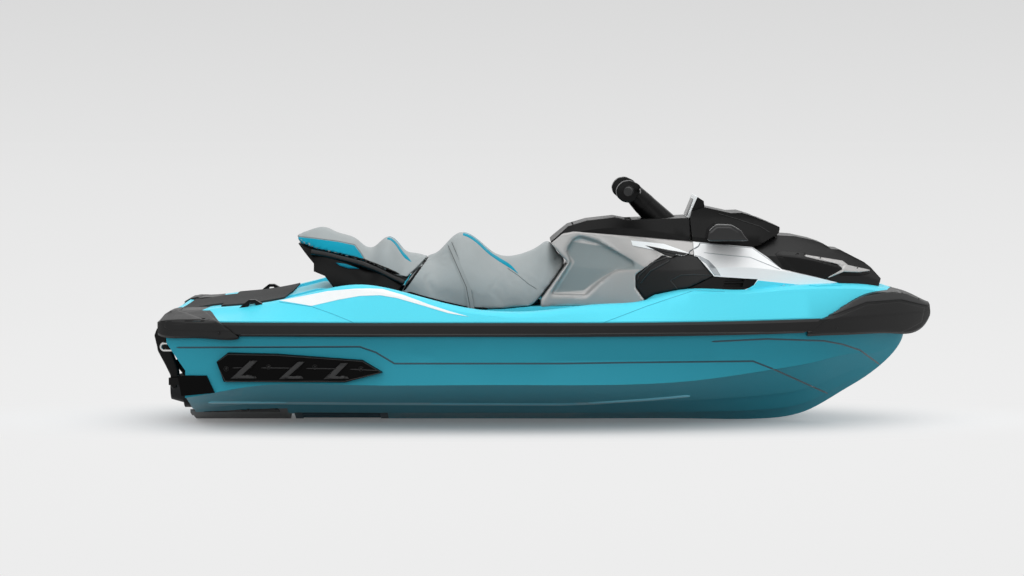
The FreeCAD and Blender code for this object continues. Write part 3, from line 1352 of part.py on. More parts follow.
def seat_widths(x):
    """Half-widths of the seats at a place along the craft, between the rows of the table."""
    rows = SEAT_WIDTH_SHARES
    after = [row for row in rows if row[0] > x] or rows[-1:]
    before = rows[max(0, len(rows) - len(after) - 1)]
    span = after[0][0] - before[0]
    blend = (x - before[0]) / span if span else 0
    return [half_beam_at(low + blend * (high - low)) for low, high in zip(before[1:], after[0][1:])]


def seat_form(top_shares, grow=0):
    """Crowned form of a seat, whose centre line follows the points given."""
    bulge_share, shoulder_share, crown_share = SEAT_SECTION_SHARES
    rows = []
    for x, z in top_shares:
        foot, bulge, shoulder = [width + grow for width in seat_widths(x)]
        top = upper_z(z) + grow
        rise = top - s.bond_height
        rows.append((length_at(x), [
            (foot, s.bond_height), (bulge, s.bond_height + bulge_share * rise),
            (shoulder, s.bond_height + shoulder_share * rise),
            (shoulder / 2, s.bond_height + crown_share * rise), (0, top)]))
    return smooth_loft(rows)


def make_passenger_cushion():
    above = [(x, 1) for x, z in (REAR_TOP_SHARES[0], REAR_TOP_SHARES[-1])]
    ends = side_prism(above + REAR_TOP_SHARES[-1:] + REAR_LINE_SHARES)
    return add_node("passenger_cushion", moved(rear_form.common(ends), z=s.seat_gap))


def make_passenger_base():
    """Black moulding under the rear cushion, with its grab rails."""
    outline = side_prism(list(reversed(REAR_LINE_SHARES)) + list(reversed(REAR_BASE_SHARES)))
    return add_node("passenger_base", moved(rear_form.common(outline), z=s.seat_gap))


def driver_ends():
    first, last = DRIVER_TOP_SHARES[0], DRIVER_TOP_SHARES[-1]
    foot = DRIVER_NOSE_SHARES + list(reversed(DRIVER_FOOT_SHARES))
    return side_prism([first, (first[0], 1), (last[0], 1), last] + foot)


def make_driver_cushion():
    return add_node("driver_cushion", driver_form.common(driver_ends()))


def make_seat_strap():
    """Flat strap across the driver's seat."""
    band = seat_form(DRIVER_TOP_SHARES, s.strap_gauge).common(side_prism(STRAP_SHARES))
    return add_node("seat_strap", band.cut([driver_form, raw_deck_cut]))


rear_form = seat_form([SEAT_MARGIN_SHARES[0]] + REAR_TOP_SHARES + [SEAT_MARGIN_SHARES[1]])
driver_form = seat_form([SEAT_MARGIN_SHARES[2]] + DRIVER_TOP_SHARES)


# Steering

COLUMN_TOP_SHARE = 0.8


def make_column_cover():
    base = column_point(s.neck_length + s.seat_gap)
    collar = Part.makeCylinder(s.column_radius, s.column_collar, base, column_axis())
    cone = Part.makeCone(s.column_radius, COLUMN_TOP_SHARE * s.column_radius, s.head_length - s.column_collar,
                         base + column_axis() * s.column_collar, column_axis())
    return add_node("column_cover", collar.fuse(cone))


def bar_points():
    top = column_point(s.neck_length + COLUMN_TOP_SHARE * s.head_length)
    knee = top + Vector(0, s.bar_knee, 0) + column_axis() * s.bar_rise
    tip = Vector(knee.x - s.bar_sweep, s.bar_half_width, knee.z)
    return top + Vector(0, s.column_radius / 2, 0), knee, tip


def rod(start, end, radius):
    return Part.makeCylinder(radius, (end - start).Length, start, end - start)


def make_handlebar():
    start, knee, tip = bar_points()
    middle = Vector(start.x, -start.y, start.z)
    half = rod(start, knee, s.bar_radius).fuse([rod(knee, tip, s.bar_radius),
                                                Part.makeSphere(s.bar_radius, knee),
                                                Part.makeSphere(s.bar_radius, start)])
    bar = half.fuse([mirrored(half), rod(middle, start, s.bar_radius)])
    cover = nodes_by_label("column_cover")
    return add_node("handlebar", bar.cut(cover))


def nodes_by_label(label):
    """Shape of a finished node, back in the layout's own coordinates."""
    shape = [node for node in nodes if node.Label == label][0].Shape.copy()
    shape.translate(Vector(s.origin_from_stern, 0, s.draught))
    return shape


GRIP_FLANGE_SHARE = 0.36
LEVER_ROOT_SHARE = 0.5


def make_grips():
    start, knee, tip = bar_points()
    along = (tip - knee).normalize()
    base = tip - along * s.grip_length
    grip = Part.makeCylinder(s.grip_radius, s.grip_length, base, along)
    flange = s.grip_radius + GRIP_FLANGE_SHARE * s.bar_radius
    grip = grip.fuse(Part.makeCylinder(flange, s.bar_radius, base, along))
    grip = grip.cut(Part.makeCylinder(s.bar_radius, s.grip_length, base, along))
    cap = Part.makeCylinder(s.grip_radius, s.bar_radius, tip, along)
    return add_node("grips", both_sides(grip.fuse(cap)))


def make_levers():
    """Switch housings inboard of the grips, each with its lever ahead of the grip."""
    knee, tip = bar_points()[1:]
    along = (tip - knee).normalize()
    root = tip - along * (s.grip_length + s.bar_radius + s.switch_pod_width)
    pod = Part.makeCylinder(s.switch_pod_radius, s.switch_pod_width, root, along)
    pod = pod.cut(Part.makeCylinder(s.bar_radius, s.switch_pod_width, root, along))
    middle = root + along * s.switch_pod_width / 2
    half = Vector(0, 0, s.lever_width / 2)
    start = s.bar_radius + LEVER_ROOT_SHARE * s.grip_radius
    plan = [middle + Vector(start, 0, 0), middle + Vector(s.lever_reach, 0, 0),
            middle + Vector(s.lever_reach, 0, 0) + along * s.lever_length]
    plan += [p + Vector(s.lever_gauge, 0, 0) for p in reversed(plan[1:])]
    plan.append(plan[0] - along * s.lever_width / 2)
    plate = Part.Face(Part.makePolygon([p - half for p in plan + plan[:1]])).extrude(2 * half)
    return add_node("levers", both_sides(pod.fuse(plate)))


# Mats

PLATFORM_MAT_SHARES = [(0.044, 0.380), (0.098, 0.380), (0.098, 0.560), (0.178, 0.600)]


def make_platform_mat():
    """Mat on the rear deck, narrower between the corners of the stern bumper."""
    port = [Vector(length_at(x), half_beam_at(y), 0) for x, y in PLATFORM_MAT_SHARES]
    starboard = [Vector(p.x, -p.y, 0) for p in reversed(port)]
    plan = Part.Face(Part.makePolygon(port + starboard + port[:1])).extrude(Vector(0, 0, upper_z(1)))
    return add_node("platform_mat", moved(raw_deck, z=s.mat_gauge).common(plan).cut(raw_deck_cut))


def make_footwell_mats():
    """Pad on the flat floor of each footwell."""
    low, toe = [length_at(share) for share in FOOTWELL_FLOOR_X_SHARES[1:3]]
    inner = s.footwell_inner + s.mat_border
    outer = half_beam_at(FOOTWELL_PLAN_SHARES[1][1]) - s.mat_border
    pad = box(low, toe, inner, outer, s.footwell_floor, s.footwell_floor + s.mat_gauge)
    return add_node("footwell_mats", both_sides(pad))


def make_engine():
    half = s.engine_width / 2
    shape = box(s.engine_aft, s.engine_aft + s.engine_length, -half, half, s.bay_floor,
                s.bay_floor + s.engine_height)
    return add_node("engine_block", shape)


raw_deck_cut = deck_shape()

make_hull()
make_deck()
make_ride_plate()
make_intake_grate()
make_stern_bumper()
make_gunwale_rails()
make_bow_bumper()
make_sponsons()
make_chine_guards()
make_tow_eyes()
make_deck_cleats()
make_pump_housing()
make_trim_ring()
make_steering_nozzle()
make_impeller()
make_drive_shaft()
make_reverse_gate()
make_gate_pins()
make_ladder()
make_ladder_brackets()
make_platform_mat()
make_footwell_mats()
make_engine()
make_passenger_base()
make_passenger_cushion()
make_driver_cushion()
make_seat_strap()
make_console_sides()
make_knee_pads()
make_console_blades()
make_speaker_pods()
make_side_vents()
make_front_fenders()
make_console_top()
make_glovebox_lid()
make_storage_lid()
make_gauge()
make_mirrors()
make_front_hood()
make_hood_inserts()
make_hood_blades()
make_column_cover()
make_handlebar()
make_grips()
make_levers()


def check_document():
    document.recompute()
    for item in document.Objects:
        if "Invalid" in item.State or "Error" in item.State:
            raise RuntimeError(f"{item.Name} failed: {item.State}")
    for node in nodes:
        if node.Shape.isNull() or not node.Shape.isValid() or not node.Shape.Solids:
            raise RuntimeError(f"{node.Label} has no valid solid")


def export_nodes():
    os.makedirs("parts", exist_ok=True)
    for node in nodes:
        node.Shape.exportStep(f"parts/{node.Label}.step")


check_document()
export_nodes()
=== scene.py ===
"""Three-seat personal watercraft: hull, deck, straddle seats and jet drive, in a pale studio."""
import math

import bmesh
import bpy
import numpy as np
from mathutils import Matrix, Vector, bvhtree, geometry


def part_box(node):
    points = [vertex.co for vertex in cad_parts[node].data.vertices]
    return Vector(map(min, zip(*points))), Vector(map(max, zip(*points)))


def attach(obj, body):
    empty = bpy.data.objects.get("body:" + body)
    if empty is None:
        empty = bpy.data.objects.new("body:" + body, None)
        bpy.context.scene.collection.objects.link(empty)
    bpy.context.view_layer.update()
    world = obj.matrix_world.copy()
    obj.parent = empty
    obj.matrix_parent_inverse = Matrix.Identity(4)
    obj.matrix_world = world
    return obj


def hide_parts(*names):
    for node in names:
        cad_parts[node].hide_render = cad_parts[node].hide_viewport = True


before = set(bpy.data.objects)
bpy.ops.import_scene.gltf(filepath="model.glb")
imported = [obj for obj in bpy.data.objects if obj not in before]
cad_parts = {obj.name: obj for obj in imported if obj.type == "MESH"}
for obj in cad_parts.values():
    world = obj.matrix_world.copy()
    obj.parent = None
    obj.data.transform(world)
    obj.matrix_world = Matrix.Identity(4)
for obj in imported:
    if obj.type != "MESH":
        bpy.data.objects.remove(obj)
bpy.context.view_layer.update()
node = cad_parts

# Photographer's floor, lamps and camera.
# A pale seamless floor under a broad overhead soft box and a weaker wash from each side, with the
# craft standing on its keel as on a showroom's floor, seen from far off with a long lens.


def linear(hex_colour):
    """An sRGB hex colour as linear red, green, blue and alpha."""
    parts = [int(hex_colour[i:i + 2], 16) / 255 for i in (1, 3, 5)]
    return [c / 12.92 if c <= 0.04045 else ((c + 0.055) / 1.055) ** 2.4 for c in parts] + [1.0]


def add(tree, kind, inputs=None, **settings):
    """Adds a node with its settings. Its inputs are values, sockets, or nodes for their first output."""
    new = tree.nodes.new("ShaderNode" + kind)
    for name, value in settings.items():
        setattr(new, name, value)
    for name, value in (inputs or {}).items():
        if isinstance(value, bpy.types.Node):
            value = value.outputs[0]
        if isinstance(value, bpy.types.NodeSocket):
            tree.links.new(value, new.inputs[name])
        else:
            new.inputs[name].default_value = value
    return new


def empty_material(name):
    made = bpy.data.materials.new(name)
    made.use_nodes = True
    made.node_tree.nodes.clear()
    return made


def on_object(name):
    """An empty material, its tree, and the socket that gives the place on the object in metres."""
    made = empty_material(name)
    return made, made.node_tree, add(made.node_tree, "TexCoord").outputs["Object"]


def shown(tree):
    """1 for rays of the camera, of reflections and of glass, which see the pale studio itself."""
    rays = add(tree, "LightPath")
    mirrored = add(tree, "Math", {
        0: rays.outputs["Is Camera Ray"], 1: rays.outputs["Is Glossy Ray"]}, operation="MAXIMUM")
    return add(tree, "Math", {0: mirrored, 1: rays.outputs["Is Transmission Ray"]}, operation="MAXIMUM")


HORIZON = "#E4E4E4"
ZENITH = "#DADADA"
FLOOR = "#F2F2F2"
FLOOR_FADE = ((0.03, "#EEEEEE"), (0.10, "#EBEBEB"), (0.19, "#E9E9E9"), (0.36, "#E7E7E7"),
              (0.82, HORIZON))
FLOOR_REACH = 60  # radius of the floor in metres, which the fade's places are shares of
FLOOR_OVAL = (0.24, 1.0, 0.0)  # squeezes the craft's length, so that the shadow's patch is an oval
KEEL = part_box("hull")[0].z

world = bpy.data.worlds.new("Studio")
bpy.context.scene.world = world
world.use_nodes = True
tree = world.node_tree
tree.nodes.clear()
direction = add(tree, "TexCoord")
split = add(tree, "SeparateXYZ", {"Vector": direction.outputs["Generated"]})
height = add(tree, "MapRange", {"Value": split.outputs["Z"], "From Min": -0.025, "From Max": 0.04})
sky = add(tree, "Mix", {"Factor": height, "A": linear(HORIZON), "B": linear(ZENITH)}, data_type="RGBA")
seen = add(tree, "Background", {"Color": sky.outputs[2], "Strength": 1.0})
above = add(tree, "MapRange", {
    "Value": split.outputs["Z"], "From Min": -0.25, "From Max": 0.35, "To Min": 0.35, "To Max": 0.85})
light = add(tree, "Background", {"Color": linear("#F4F6F8"), "Strength": above})
both = add(tree, "MixShader", {0: shown(tree), 1: light, 2: seen})
add(tree, "OutputWorld", {"Surface": both})

# Near the craft the floor takes its shadow; away from it the camera sees an even pale glow.
bpy.ops.mesh.primitive_circle_add(vertices=96, radius=FLOOR_REACH, fill_type="NGON",
                                  location=(0, 0, KEEL))
floor = bpy.context.object
floor.name = "studio_floor"
painted, tree, place = on_object("Matt studio floor")
oval = add(tree, "Mapping", {"Vector": place, "Scale": FLOOR_OVAL})
close = add(tree, "VectorMath", {0: oval}, operation="LENGTH")
far = add(tree, "MapRange", {
    "Value": close.outputs["Value"], "From Min": 0.2, "From Max": 0.76, "To Min": 0.1},
    interpolation_type="SMOOTHSTEP")
looked_at = shown(tree)
hidden = add(tree, "Math", {0: far, 1: looked_at}, operation="MULTIPLY")
bounce = add(tree, "Mix", {
    "Factor": looked_at, "A": linear("#9A9A9A"), "B": linear(FLOOR)}, data_type="RGBA")
matt = add(tree, "BsdfDiffuse", {"Color": bounce.outputs[2]})
away = add(tree, "VectorMath", {0: place}, operation="LENGTH")
share = add(tree, "Math", {0: away.outputs["Value"], 1: FLOOR_REACH}, operation="DIVIDE")
fade = add(tree, "ValToRGB", {"Fac": share})
while len(fade.color_ramp.elements) < len(FLOOR_FADE):
    fade.color_ramp.elements.new(1.0)
for stop, (position, grey) in zip(fade.color_ramp.elements, FLOOR_FADE):
    stop.position = position
    stop.color = linear(grey)
glow = add(tree, "Emission", {"Color": fade, "Strength": 1.0})
faded = add(tree, "MixShader", {0: hidden, 1: matt, 2: glow})
add(tree, "OutputMaterial", {"Surface": faded})
floor.data.materials.append(painted)

# Each lamp's name, its place, its width and height in metres, and its watts.
LAMPS = (("soft_box", (0.9, -1.2, 5.0), (8.0, 5.0), 125),
         ("side_wash", (-1.0, -7.5, 2.6), (8.0, 2.6), 78),
         ("back_wash", (0.6, 6.5, 3.2), (7.0, 2.2), 45))
LAMPS_AIM = Vector((0.1, 0, 0.2))
for name, place, size, watts in LAMPS:
    lamp = bpy.data.lights.new(name, "AREA")
    lamp.shape, lamp.size, lamp.size_y, lamp.energy = "RECTANGLE", size[0], size[1], watts
    holder = bpy.data.objects.new(name, lamp)
    bpy.context.scene.collection.objects.link(holder)
    holder.location = place
    holder.rotation_euler = (LAMPS_AIM - Vector(place)).to_track_quat("-Z", "Y").to_euler()

EYE = Vector((0.047, -10.5, 1.205))  # where the photographer's lens stands
TILT = math.radians(4.74)  # how far it looks down
LENS = 83.04  # focal length in millimetres
SENSOR = 36  # width in millimetres of what the lens draws on
camera = bpy.data.objects.new("camera", bpy.data.cameras.new("camera"))
camera.data.lens = LENS
camera.data.sensor_width = SENSOR
camera.location = EYE
camera.rotation_euler = (math.pi / 2 - TILT, 0, 0)
bpy.context.scene.collection.objects.link(camera)
bpy.context.scene.camera = camera
bpy.context.scene.view_settings.view_transform = "Standard"

# Hull.
# One laminated glass-fibre shell with a metallic teal gelcoat, polished in the mould: a soft shine
# with a slight orange peel and fine flakes. Grooves are moulded along each side, strakes below.


def painted_gelcoat(name, colour, flake, rough=0.32, coat=0.5, index=1.36):
    """Polished gelcoat: flakes under a clear coat, with the mould's slight orange peel."""
    made, tree, place = on_object(name)
    # Orange peel of about 18 mm, drawn coarser than the real 3 mm so that it shows from here.
    peel = add(tree, "TexNoise", {"Vector": place, "Scale": 55.0, "Detail": 2.0})
    # Flakes of about 1 mm.
    flakes = add(tree, "TexVoronoi", {"Vector": place, "Scale": 900.0})
    sparkle = add(tree, "MapRange", {
        "Value": flakes.outputs["Distance"], "From Min": 0.0, "From Max": 0.7, "To Min": 0.94,
        "To Max": 1.06})
    tint = add(tree, "VectorMath", {0: linear(colour)[:3], "Scale": sparkle}, operation="SCALE")
    bump = add(tree, "Bump", {"Height": peel, "Strength": 0.1, "Distance": 0.0004})
    shader = add(tree, "BsdfPrincipled", {
        "Base Color": tint, "Metallic": flake, "Roughness": rough, "IOR": index, "Coat Weight": coat,
        "Coat Roughness": 0.05, "Normal": bump})
    add(tree, "OutputMaterial", {"Surface": shader})
    return made


def dress(name, material, angle=32):
    """Gives a CAD node its material and joins its facets smoothly, but for edges over the angle."""
    part = node[name]
    part.data.materials.clear()
    part.data.materials.append(material)
    part.data.polygons.foreach_set("material_index", [0] * len(part.data.polygons))
    part.data.polygons.foreach_set("use_smooth", [True] * len(part.data.polygons))
    weld = part.modifiers.new("Weld", "WELD")
    weld.merge_threshold = 0.00002
    crisp = part.modifiers.new("Crisp edges", "EDGE_SPLIT")
    crisp.split_angle = math.radians(angle)


PHOTO_WIDTH, PHOTO_HEIGHT = 1024, 576  # of the photograph, in pixels
MIDDLE_X, MIDDLE_Y = PHOTO_WIDTH // 2, PHOTO_HEIGHT // 2
FOCUS = LENS / SENSOR * PHOTO_WIDTH  # focal length in pixels of the photograph


def sight(px, py):
    """Direction from the camera through a place in the photograph."""
    across, down = (px - MIDDLE_X) / FOCUS, (py - MIDDLE_Y) / FOCUS
    return Vector((across, math.cos(TILT) - down * math.sin(TILT),
                   -math.sin(TILT) - down * math.cos(TILT))).normalized()


def surface_of(*names):
    """The surface of one or more finished pieces, for laying others on it."""
    points, faces = [], []
    for name in names:
        mesh = bpy.data.objects[name].data
        start = len(points)
        points += [v.co.copy() for v in mesh.vertices]
        faces += [[start + i for i in face.vertices] for face in mesh.polygons]
    return bvhtree.BVHTree.FromPolygons(points, faces)


def along(points, step, closed=True):
    """Points at even steps along a line, its corners kept."""
    ends = points[1:] + points[:1] if closed else points[1:]
    placed = []
    for a, b in zip(points, ends):
        a, b = np.array(a, float), np.array(b, float)
        count = max(1, round(float(np.linalg.norm(b - a)) / step))
        placed += [a + (b - a) * i / count for i in range(count)]
    return placed if closed else placed + [np.array(points[-1], float)]


def edge_distance(places, ring):
    """Distance of each place to the nearest edge of a closed outline."""
    a, b = np.array(ring), np.roll(np.array(ring), -1, axis=0)
    d = b - a
    rel = places[:, None, :] - a[None]
    t = np.clip((rel * d).sum(-1) / np.maximum((d * d).sum(-1), 1e-9), 0, 1)
    return np.sqrt(((rel - t[..., None] * d) ** 2).sum(-1)).min(1)


def inside(places, ring):
    """Which places lie inside a closed outline."""
    a, b = np.array(ring), np.roll(np.array(ring), -1, axis=0)
    x, y = places[:, 0, None], places[:, 1, None]
    crosses = (a[:, 1] > y) != (b[:, 1] > y)
    rise = np.where(b[:, 1] == a[:, 1], 1e-9, b[:, 1] - a[:, 1])
    at = a[:, 0] + (y - a[:, 1]) / rise * (b[:, 0] - a[:, 0])
    return (crosses & (x < at)).sum(1) % 2 == 1


def settle(name, mesh, material, body, crisp=50):
    """Makes the finished piece from its mesh, with its material, riding on a body."""
    bmesh.ops.recalc_face_normals(mesh, faces=mesh.faces)
    data = bpy.data.meshes.new(name)
    mesh.to_mesh(data)
    mesh.free()
    data.polygons.foreach_set("use_smooth", [True] * len(data.polygons))
    data.set_sharp_from_angle(angle=math.radians(crisp))
    data.materials.append(material)
    piece = bpy.data.objects.new(name, data)
    bpy.context.scene.collection.objects.link(piece)
    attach(piece, body)
    return piece


def close_shell(mesh, tops, bottoms, faces, leap):
    """Adds a closed shell on each side of the craft from its upper points, lower points and faces.

    Faces are left out where a point didn't land, or where one leaps that far across to another part."""
    faces = [f for f in faces if all(tops[i] is not None for i in f)
             and max(tops[i].y for i in f) - min(tops[i].y for i in f) < leap]
    for mirror in (1, -1):
        turn = Matrix.Scale(mirror, 4, (0, 1, 0))
        used = {i for face in faces for i in face}
        uppers = {i: mesh.verts.new(turn @ tops[i]) for i in used}
        lowers = {i: mesh.verts.new(turn @ bottoms[i]) for i in used}
        ways = set()
        for face in faces:
            mesh.faces.new([uppers[i] for i in face])
            mesh.faces.new([lowers[i] for i in reversed(face)])
            ways.update(zip(face, face[1:] + face[:1]))
        for a, b in ways:
            if (b, a) not in ways:
                mesh.faces.new([uppers[b], uppers[a], lowers[a], lowers[b]])


def from_photo(px, py):
    """Line of sight through a place in the photograph: its start and direction."""
    return EYE, sight(px, py)


OVERHEAD = 2.0  # a height in metres that clears the whole craft


def from_above(x, y):
    """Plumb line over a place given in centimetres."""
    return Vector((x / 100, y / 100, OVERHEAD)), Vector((0, 0, -1))


GRAZING = 0.1  # sine of the flattest angle at which a line still lands on a surface


def landing(carrier, place, view=from_photo):
    """Where a line meets the near side of a surface, and the normal there."""
    start, way = view(*place)
    at, normal, _, _ = carrier.ray_cast(start, way)
    if at is None or at.y > 0 or abs(normal.dot(way)) < GRAZING:
        return None, None
    return at, -normal if normal.dot(way) > 0 else normal


SUNK = 0.0008  # how far a laid piece reaches into what carries it
EDGE_ROWS = (0.12, 0.4, 0.95)  # where rows of points follow a plate's outline, as shares of its edge
EDGE_CLEAR = 1.15  # how far from the outline the even grid starts, in edges
ROW_CLEAR = 0.93  # how near another stretch of outline a row's point may come, in its own distance
PLATE_LEAP = 0.06  # how far across the craft one of its faces may reach, in metres


def laid(name, outlines, carrier, material, body, rise, edge, cell=1.6, lip=0.35, view=from_photo):
    """Plates with these outlines in the photograph, laid on the surface that carries them.

    Each stands out by the rise, of which its lip is a share. Its edge is rounded over that many
    pixels, and its grid has cells of that many, or centimetres where the view is from above. A
    mirrored one lies on the craft's other side."""
    mesh = bmesh.new()
    for outline in outlines:
        ring = np.array(along(outline, step=1.0))
        low, high = ring.min(0), ring.max(0)
        steps = [np.arange(low[i] + cell / 2, high[i], cell) for i in (0, 1)]
        grid = np.array(np.meshgrid(*steps)).reshape(2, -1).T
        grid = grid[inside(grid, ring)]
        grid = grid[edge_distance(grid, ring) > edge * EDGE_CLEAR] if len(grid) else grid
        way = np.roll(ring, -1, axis=0) - np.roll(ring, 1, axis=0)
        side = np.stack([-way[:, 1], way[:, 0]], 1)
        side /= np.maximum(np.linalg.norm(side, axis=1, keepdims=True), 1e-9)
        more = [grid]
        for share in EDGE_ROWS:
            for sign in (1, -1):
                row = ring + side * sign * edge * share
                row = row[inside(row, ring)]
                more.append(row[edge_distance(row, ring) > edge * share * ROW_CLEAR])
        places = [Vector(p) for p in ring] + [Vector(p) for p in np.concatenate(more)]
        # The 1 keeps only triangles inside the outline.
        flat, _, faces, _, _, _ = geometry.delaunay_2d_cdt(places, [], [list(range(len(ring)))], 1, 1e-4)
        depth = edge_distance(np.array([tuple(p) for p in flat]), ring)
        tops, bottoms = [], []
        for p, d in zip(flat, depth):
            at, normal = landing(carrier, p, view)
            t = min(1.0, d / edge)
            height = rise * (lip + (1 - lip) * math.sqrt(max(0.0, 1 - (1 - t) ** 2)))
            tops.append(None if at is None else at + normal * height)
            bottoms.append(None if at is None else at - normal * SUNK)
        close_shell(mesh, tops, bottoms, faces, PLATE_LEAP)
    return settle(name, mesh, material, body)


# A bead's round back: places across its half width, and their shares of its rise.
BEAD_BACK = ((-1.0, 0.0), (-0.7, 0.75), (0.0, 1.0), (0.7, 0.75), (1.0, 0.0))
BEAD_FOOT = 0.0002  # how far its lowest edge stands off the surface
BEAD_TIP = 0.3  # how far short of a point its ends taper, in steps
BEAD_LEAP = 0.05  # as for plates


def bead(name, lines, carrier, material, body, width, rise, step=2.0):
    """Narrow rounded beads along lines in the photograph, laid on the surface that carries them."""
    mesh = bmesh.new()
    count = len(BEAD_BACK)
    for line in lines:
        path = np.array(along(line, step, closed=False))
        way = np.gradient(path, axis=0)
        side = np.stack([-way[:, 1], way[:, 0]], 1)
        side /= np.maximum(np.linalg.norm(way, axis=1, keepdims=True), 1e-9)
        tops, bottoms = [], []
        for i, (p, q) in enumerate(zip(path, side)):
            slim = min(1.0, (min(i, len(path) - 1 - i) + BEAD_TIP) * step / (2 * width))
            for reach, height in BEAD_BACK:
                at, normal = landing(carrier, p + q * reach * slim * width / 2)
                tops.append(None if at is None else at + normal * (BEAD_FOOT + rise * height))
                bottoms.append(None if at is None else at - normal * SUNK)
        faces = [[i * count + k, i * count + k + 1, (i + 1) * count + k + 1, (i + 1) * count + k]
                 for i in range(len(path) - 1) for k in range(count - 1)]
        close_shell(mesh, tops, bottoms, faces, BEAD_LEAP)
    return settle(name, mesh, material, body)


def enlarged(left, top, scale):
    """A function that turns places read from an enlarged piece of the photograph into its own."""
    return lambda *points: [(left + x / scale, top + y / scale) for x, y in points]


aft = enlarged(140, 160, 3.733)  # the stern half
fore = enlarged(540, 160, 3.733)  # the bow half
helm = enlarged(540, 170, 6.533)  # the console
nose = enlarged(700, 180, 8.2526)  # the top of the bow

hull_gelcoat = painted_gelcoat("Teal metallic gelcoat", "#359FB4", flake=0.05, coat=0.06, index=1.16)
dress("hull", hull_gelcoat, angle=22)

# Painted shade: dark teal beads along each side groove stand in for the shade in it.
groove_shade = painted_gelcoat("Shaded teal groove", "#0E3F4D", flake=0.1)
hull_surface = surface_of("hull")
bead("side_grooves", [
    aft((135, 700), (820, 697), (880, 718), (950, 760), (1568, 760))
    + fore((340, 756), (795, 751), (875, 782), (1000, 838), (1075, 872)),
    fore((640, 678), (850, 668), (1060, 675), (1130, 688), (1195, 710), (1270, 765)),
], hull_surface, groove_shade, "hull", width=1.7, rise=0.0012)

# Painted highlight: raised beads along the strake edges, in a light teal that stands in for the light
# they catch.
strake_light = painted_gelcoat("Lit strake edge", "#7FD6EA", flake=0.0)
bead("strake_edges", [
    aft((255, 905), (700, 908), (1200, 911), (1568, 912))
    + fore((200, 908), (420, 893), (560, 880)),
], hull_surface, strake_light, "hull", width=2.2, rise=0.004, step=3.0)

# Deck.
# A second moulding, bonded to the hull along its flange, in a light turquoise gelcoat, with a
# white stripe of cast film that rises to the seats and thins out along the crest.

deck_gelcoat = painted_gelcoat("Light turquoise gelcoat", "#58DCF1", flake=0.0, rough=0.4, coat=0.1,
                               index=1.22)
dress("deck", deck_gelcoat, angle=30)
white_film = painted_gelcoat("Cast white film", "#F2F4F4", flake=0.0, rough=0.4, coat=0.2)
deck_surface = surface_of("deck")
laid("deck_stripes", [
    aft((520, 525), (600, 510), (700, 490), (800, 481), (860, 480), (905, 482), (985, 505),
        (1080, 540), (1160, 566), (1228, 585), (1150, 572), (1060, 545), (960, 516), (895, 505),
        (820, 508), (740, 522), (640, 545), (600, 538)),
], deck_surface, white_film, "hull", rise=0.0015, edge=0.3, cell=1.0, lip=0.7)
# Painted shade: darker turquoise beads along the deck's creases stand in for the shade in them.
crease_shade = painted_gelcoat("Shaded turquoise crease", "#37B4CE", flake=0.1)
bead("deck_creases", [
    aft((520, 530), (640, 547), (720, 575), (800, 608)),
    fore((240, 606), (400, 545), (575, 487), (690, 492)),
], deck_surface, crease_shade, "hull", width=0.6, rise=0.0012)

# Rub rails and bumpers.
# Satin black moulded plastic, screwed over the flange where hull and deck meet. Its bevels catch the
# light, and a dark grey painted highlight stands in for it.


def moulded_plastic(name, colour, roughness=0.42, depth=0.00025, index=1.38):
    """Injection-moulded plastic with a fine leather-like grain from the tool."""
    made, tree, place = on_object(name)
    # Grain of 0.7 mm, and a shine that drifts over some 110 mm.
    pores = add(tree, "TexVoronoi", {"Vector": place, "Scale": 1400.0})
    cloud = add(tree, "TexNoise", {"Vector": place, "Scale": 9.0, "Detail": 4.0})
    shine = add(tree, "MapRange", {
        "Value": cloud, "To Min": roughness - 0.07, "To Max": roughness + 0.07})
    bump = add(tree, "Bump", {"Height": pores.outputs["Distance"], "Strength": 0.25, "Distance": depth})
    shader = add(tree, "BsdfPrincipled", {
        "Base Color": linear(colour), "Roughness": shine, "IOR": index, "Normal": bump})
    add(tree, "OutputMaterial", {"Surface": shader})
    return made


black_plastic = moulded_plastic("Satin black moulded plastic", "#0C0C0C")
deep_black = moulded_plastic("Deep black moulded plastic", "#030303", roughness=0.36, index=1.26)
for name in ("gunwale_rails", "stern_bumper", "bow_bumper"):
    dress(name, black_plastic, angle=30)
# Painted highlight: the dark grey stands in for the light that black bevels, rims and creases catch.
highlight_grey_plastic = moulded_plastic("Dark grey plastic for painted highlights", "#343434", roughness=0.38)
rail_surface = surface_of("gunwale_rails", "stern_bumper", "bow_bumper")
stern_surface = surface_of("stern_bumper", "deck")
# Painted highlight along the rail's top bevel.
bead("rail_ridges", [
    aft((375, 652), (900, 652), (1568, 651))
    + fore((200, 649), (700, 645), (1015, 641)),
], rail_surface, highlight_grey_plastic, "hull", width=1.2, rise=0.003)
# Painted highlight on the bow bumper's top facets.
laid("bow_facets", [
    fore((1336, 488), (1452, 534), (1448, 545), (1345, 521), (1216, 531), (1105, 575), (1042, 590),
         (1200, 511)),
], rail_surface, highlight_grey_plastic, "hull", rise=0.004, edge=0.8)
laid("bow_lower_facet", [
    fore((1010, 646), (1060, 606), (1112, 584), (1220, 540), (1342, 530), (1436, 552), (1424, 606),
         (1372, 634), (1345, 644)),
], rail_surface, black_plastic, "hull", rise=0.003, edge=1.0)
laid("stern_facets", [
    aft((95, 590), (120, 575), (236, 560), (298, 612), (340, 640), (118, 636), (92, 625)),
], rail_surface, black_plastic, "hull", rise=0.003, edge=1.0)
laid("stern_bumper_caps", [
    [(-151.0, -25.0), (-138.5, -25.0), (-138.0, -40.5), (-125.0, -56.4), (-151.0, -56.4)],
], stern_surface, black_plastic, "hull",
     rise=0.006, edge=1.2, cell=1.2, view=from_above)
bead("stern_bumper_edges", [
    aft((150, 599), (172, 599), (215, 599), (262, 599)),
], stern_surface, black_plastic, "hull", width=1.5, rise=0.004, step=1.0)
screw_black = moulded_plastic("Black screw heads", "#020202", roughness=0.3)
DISC_SIDES = 14


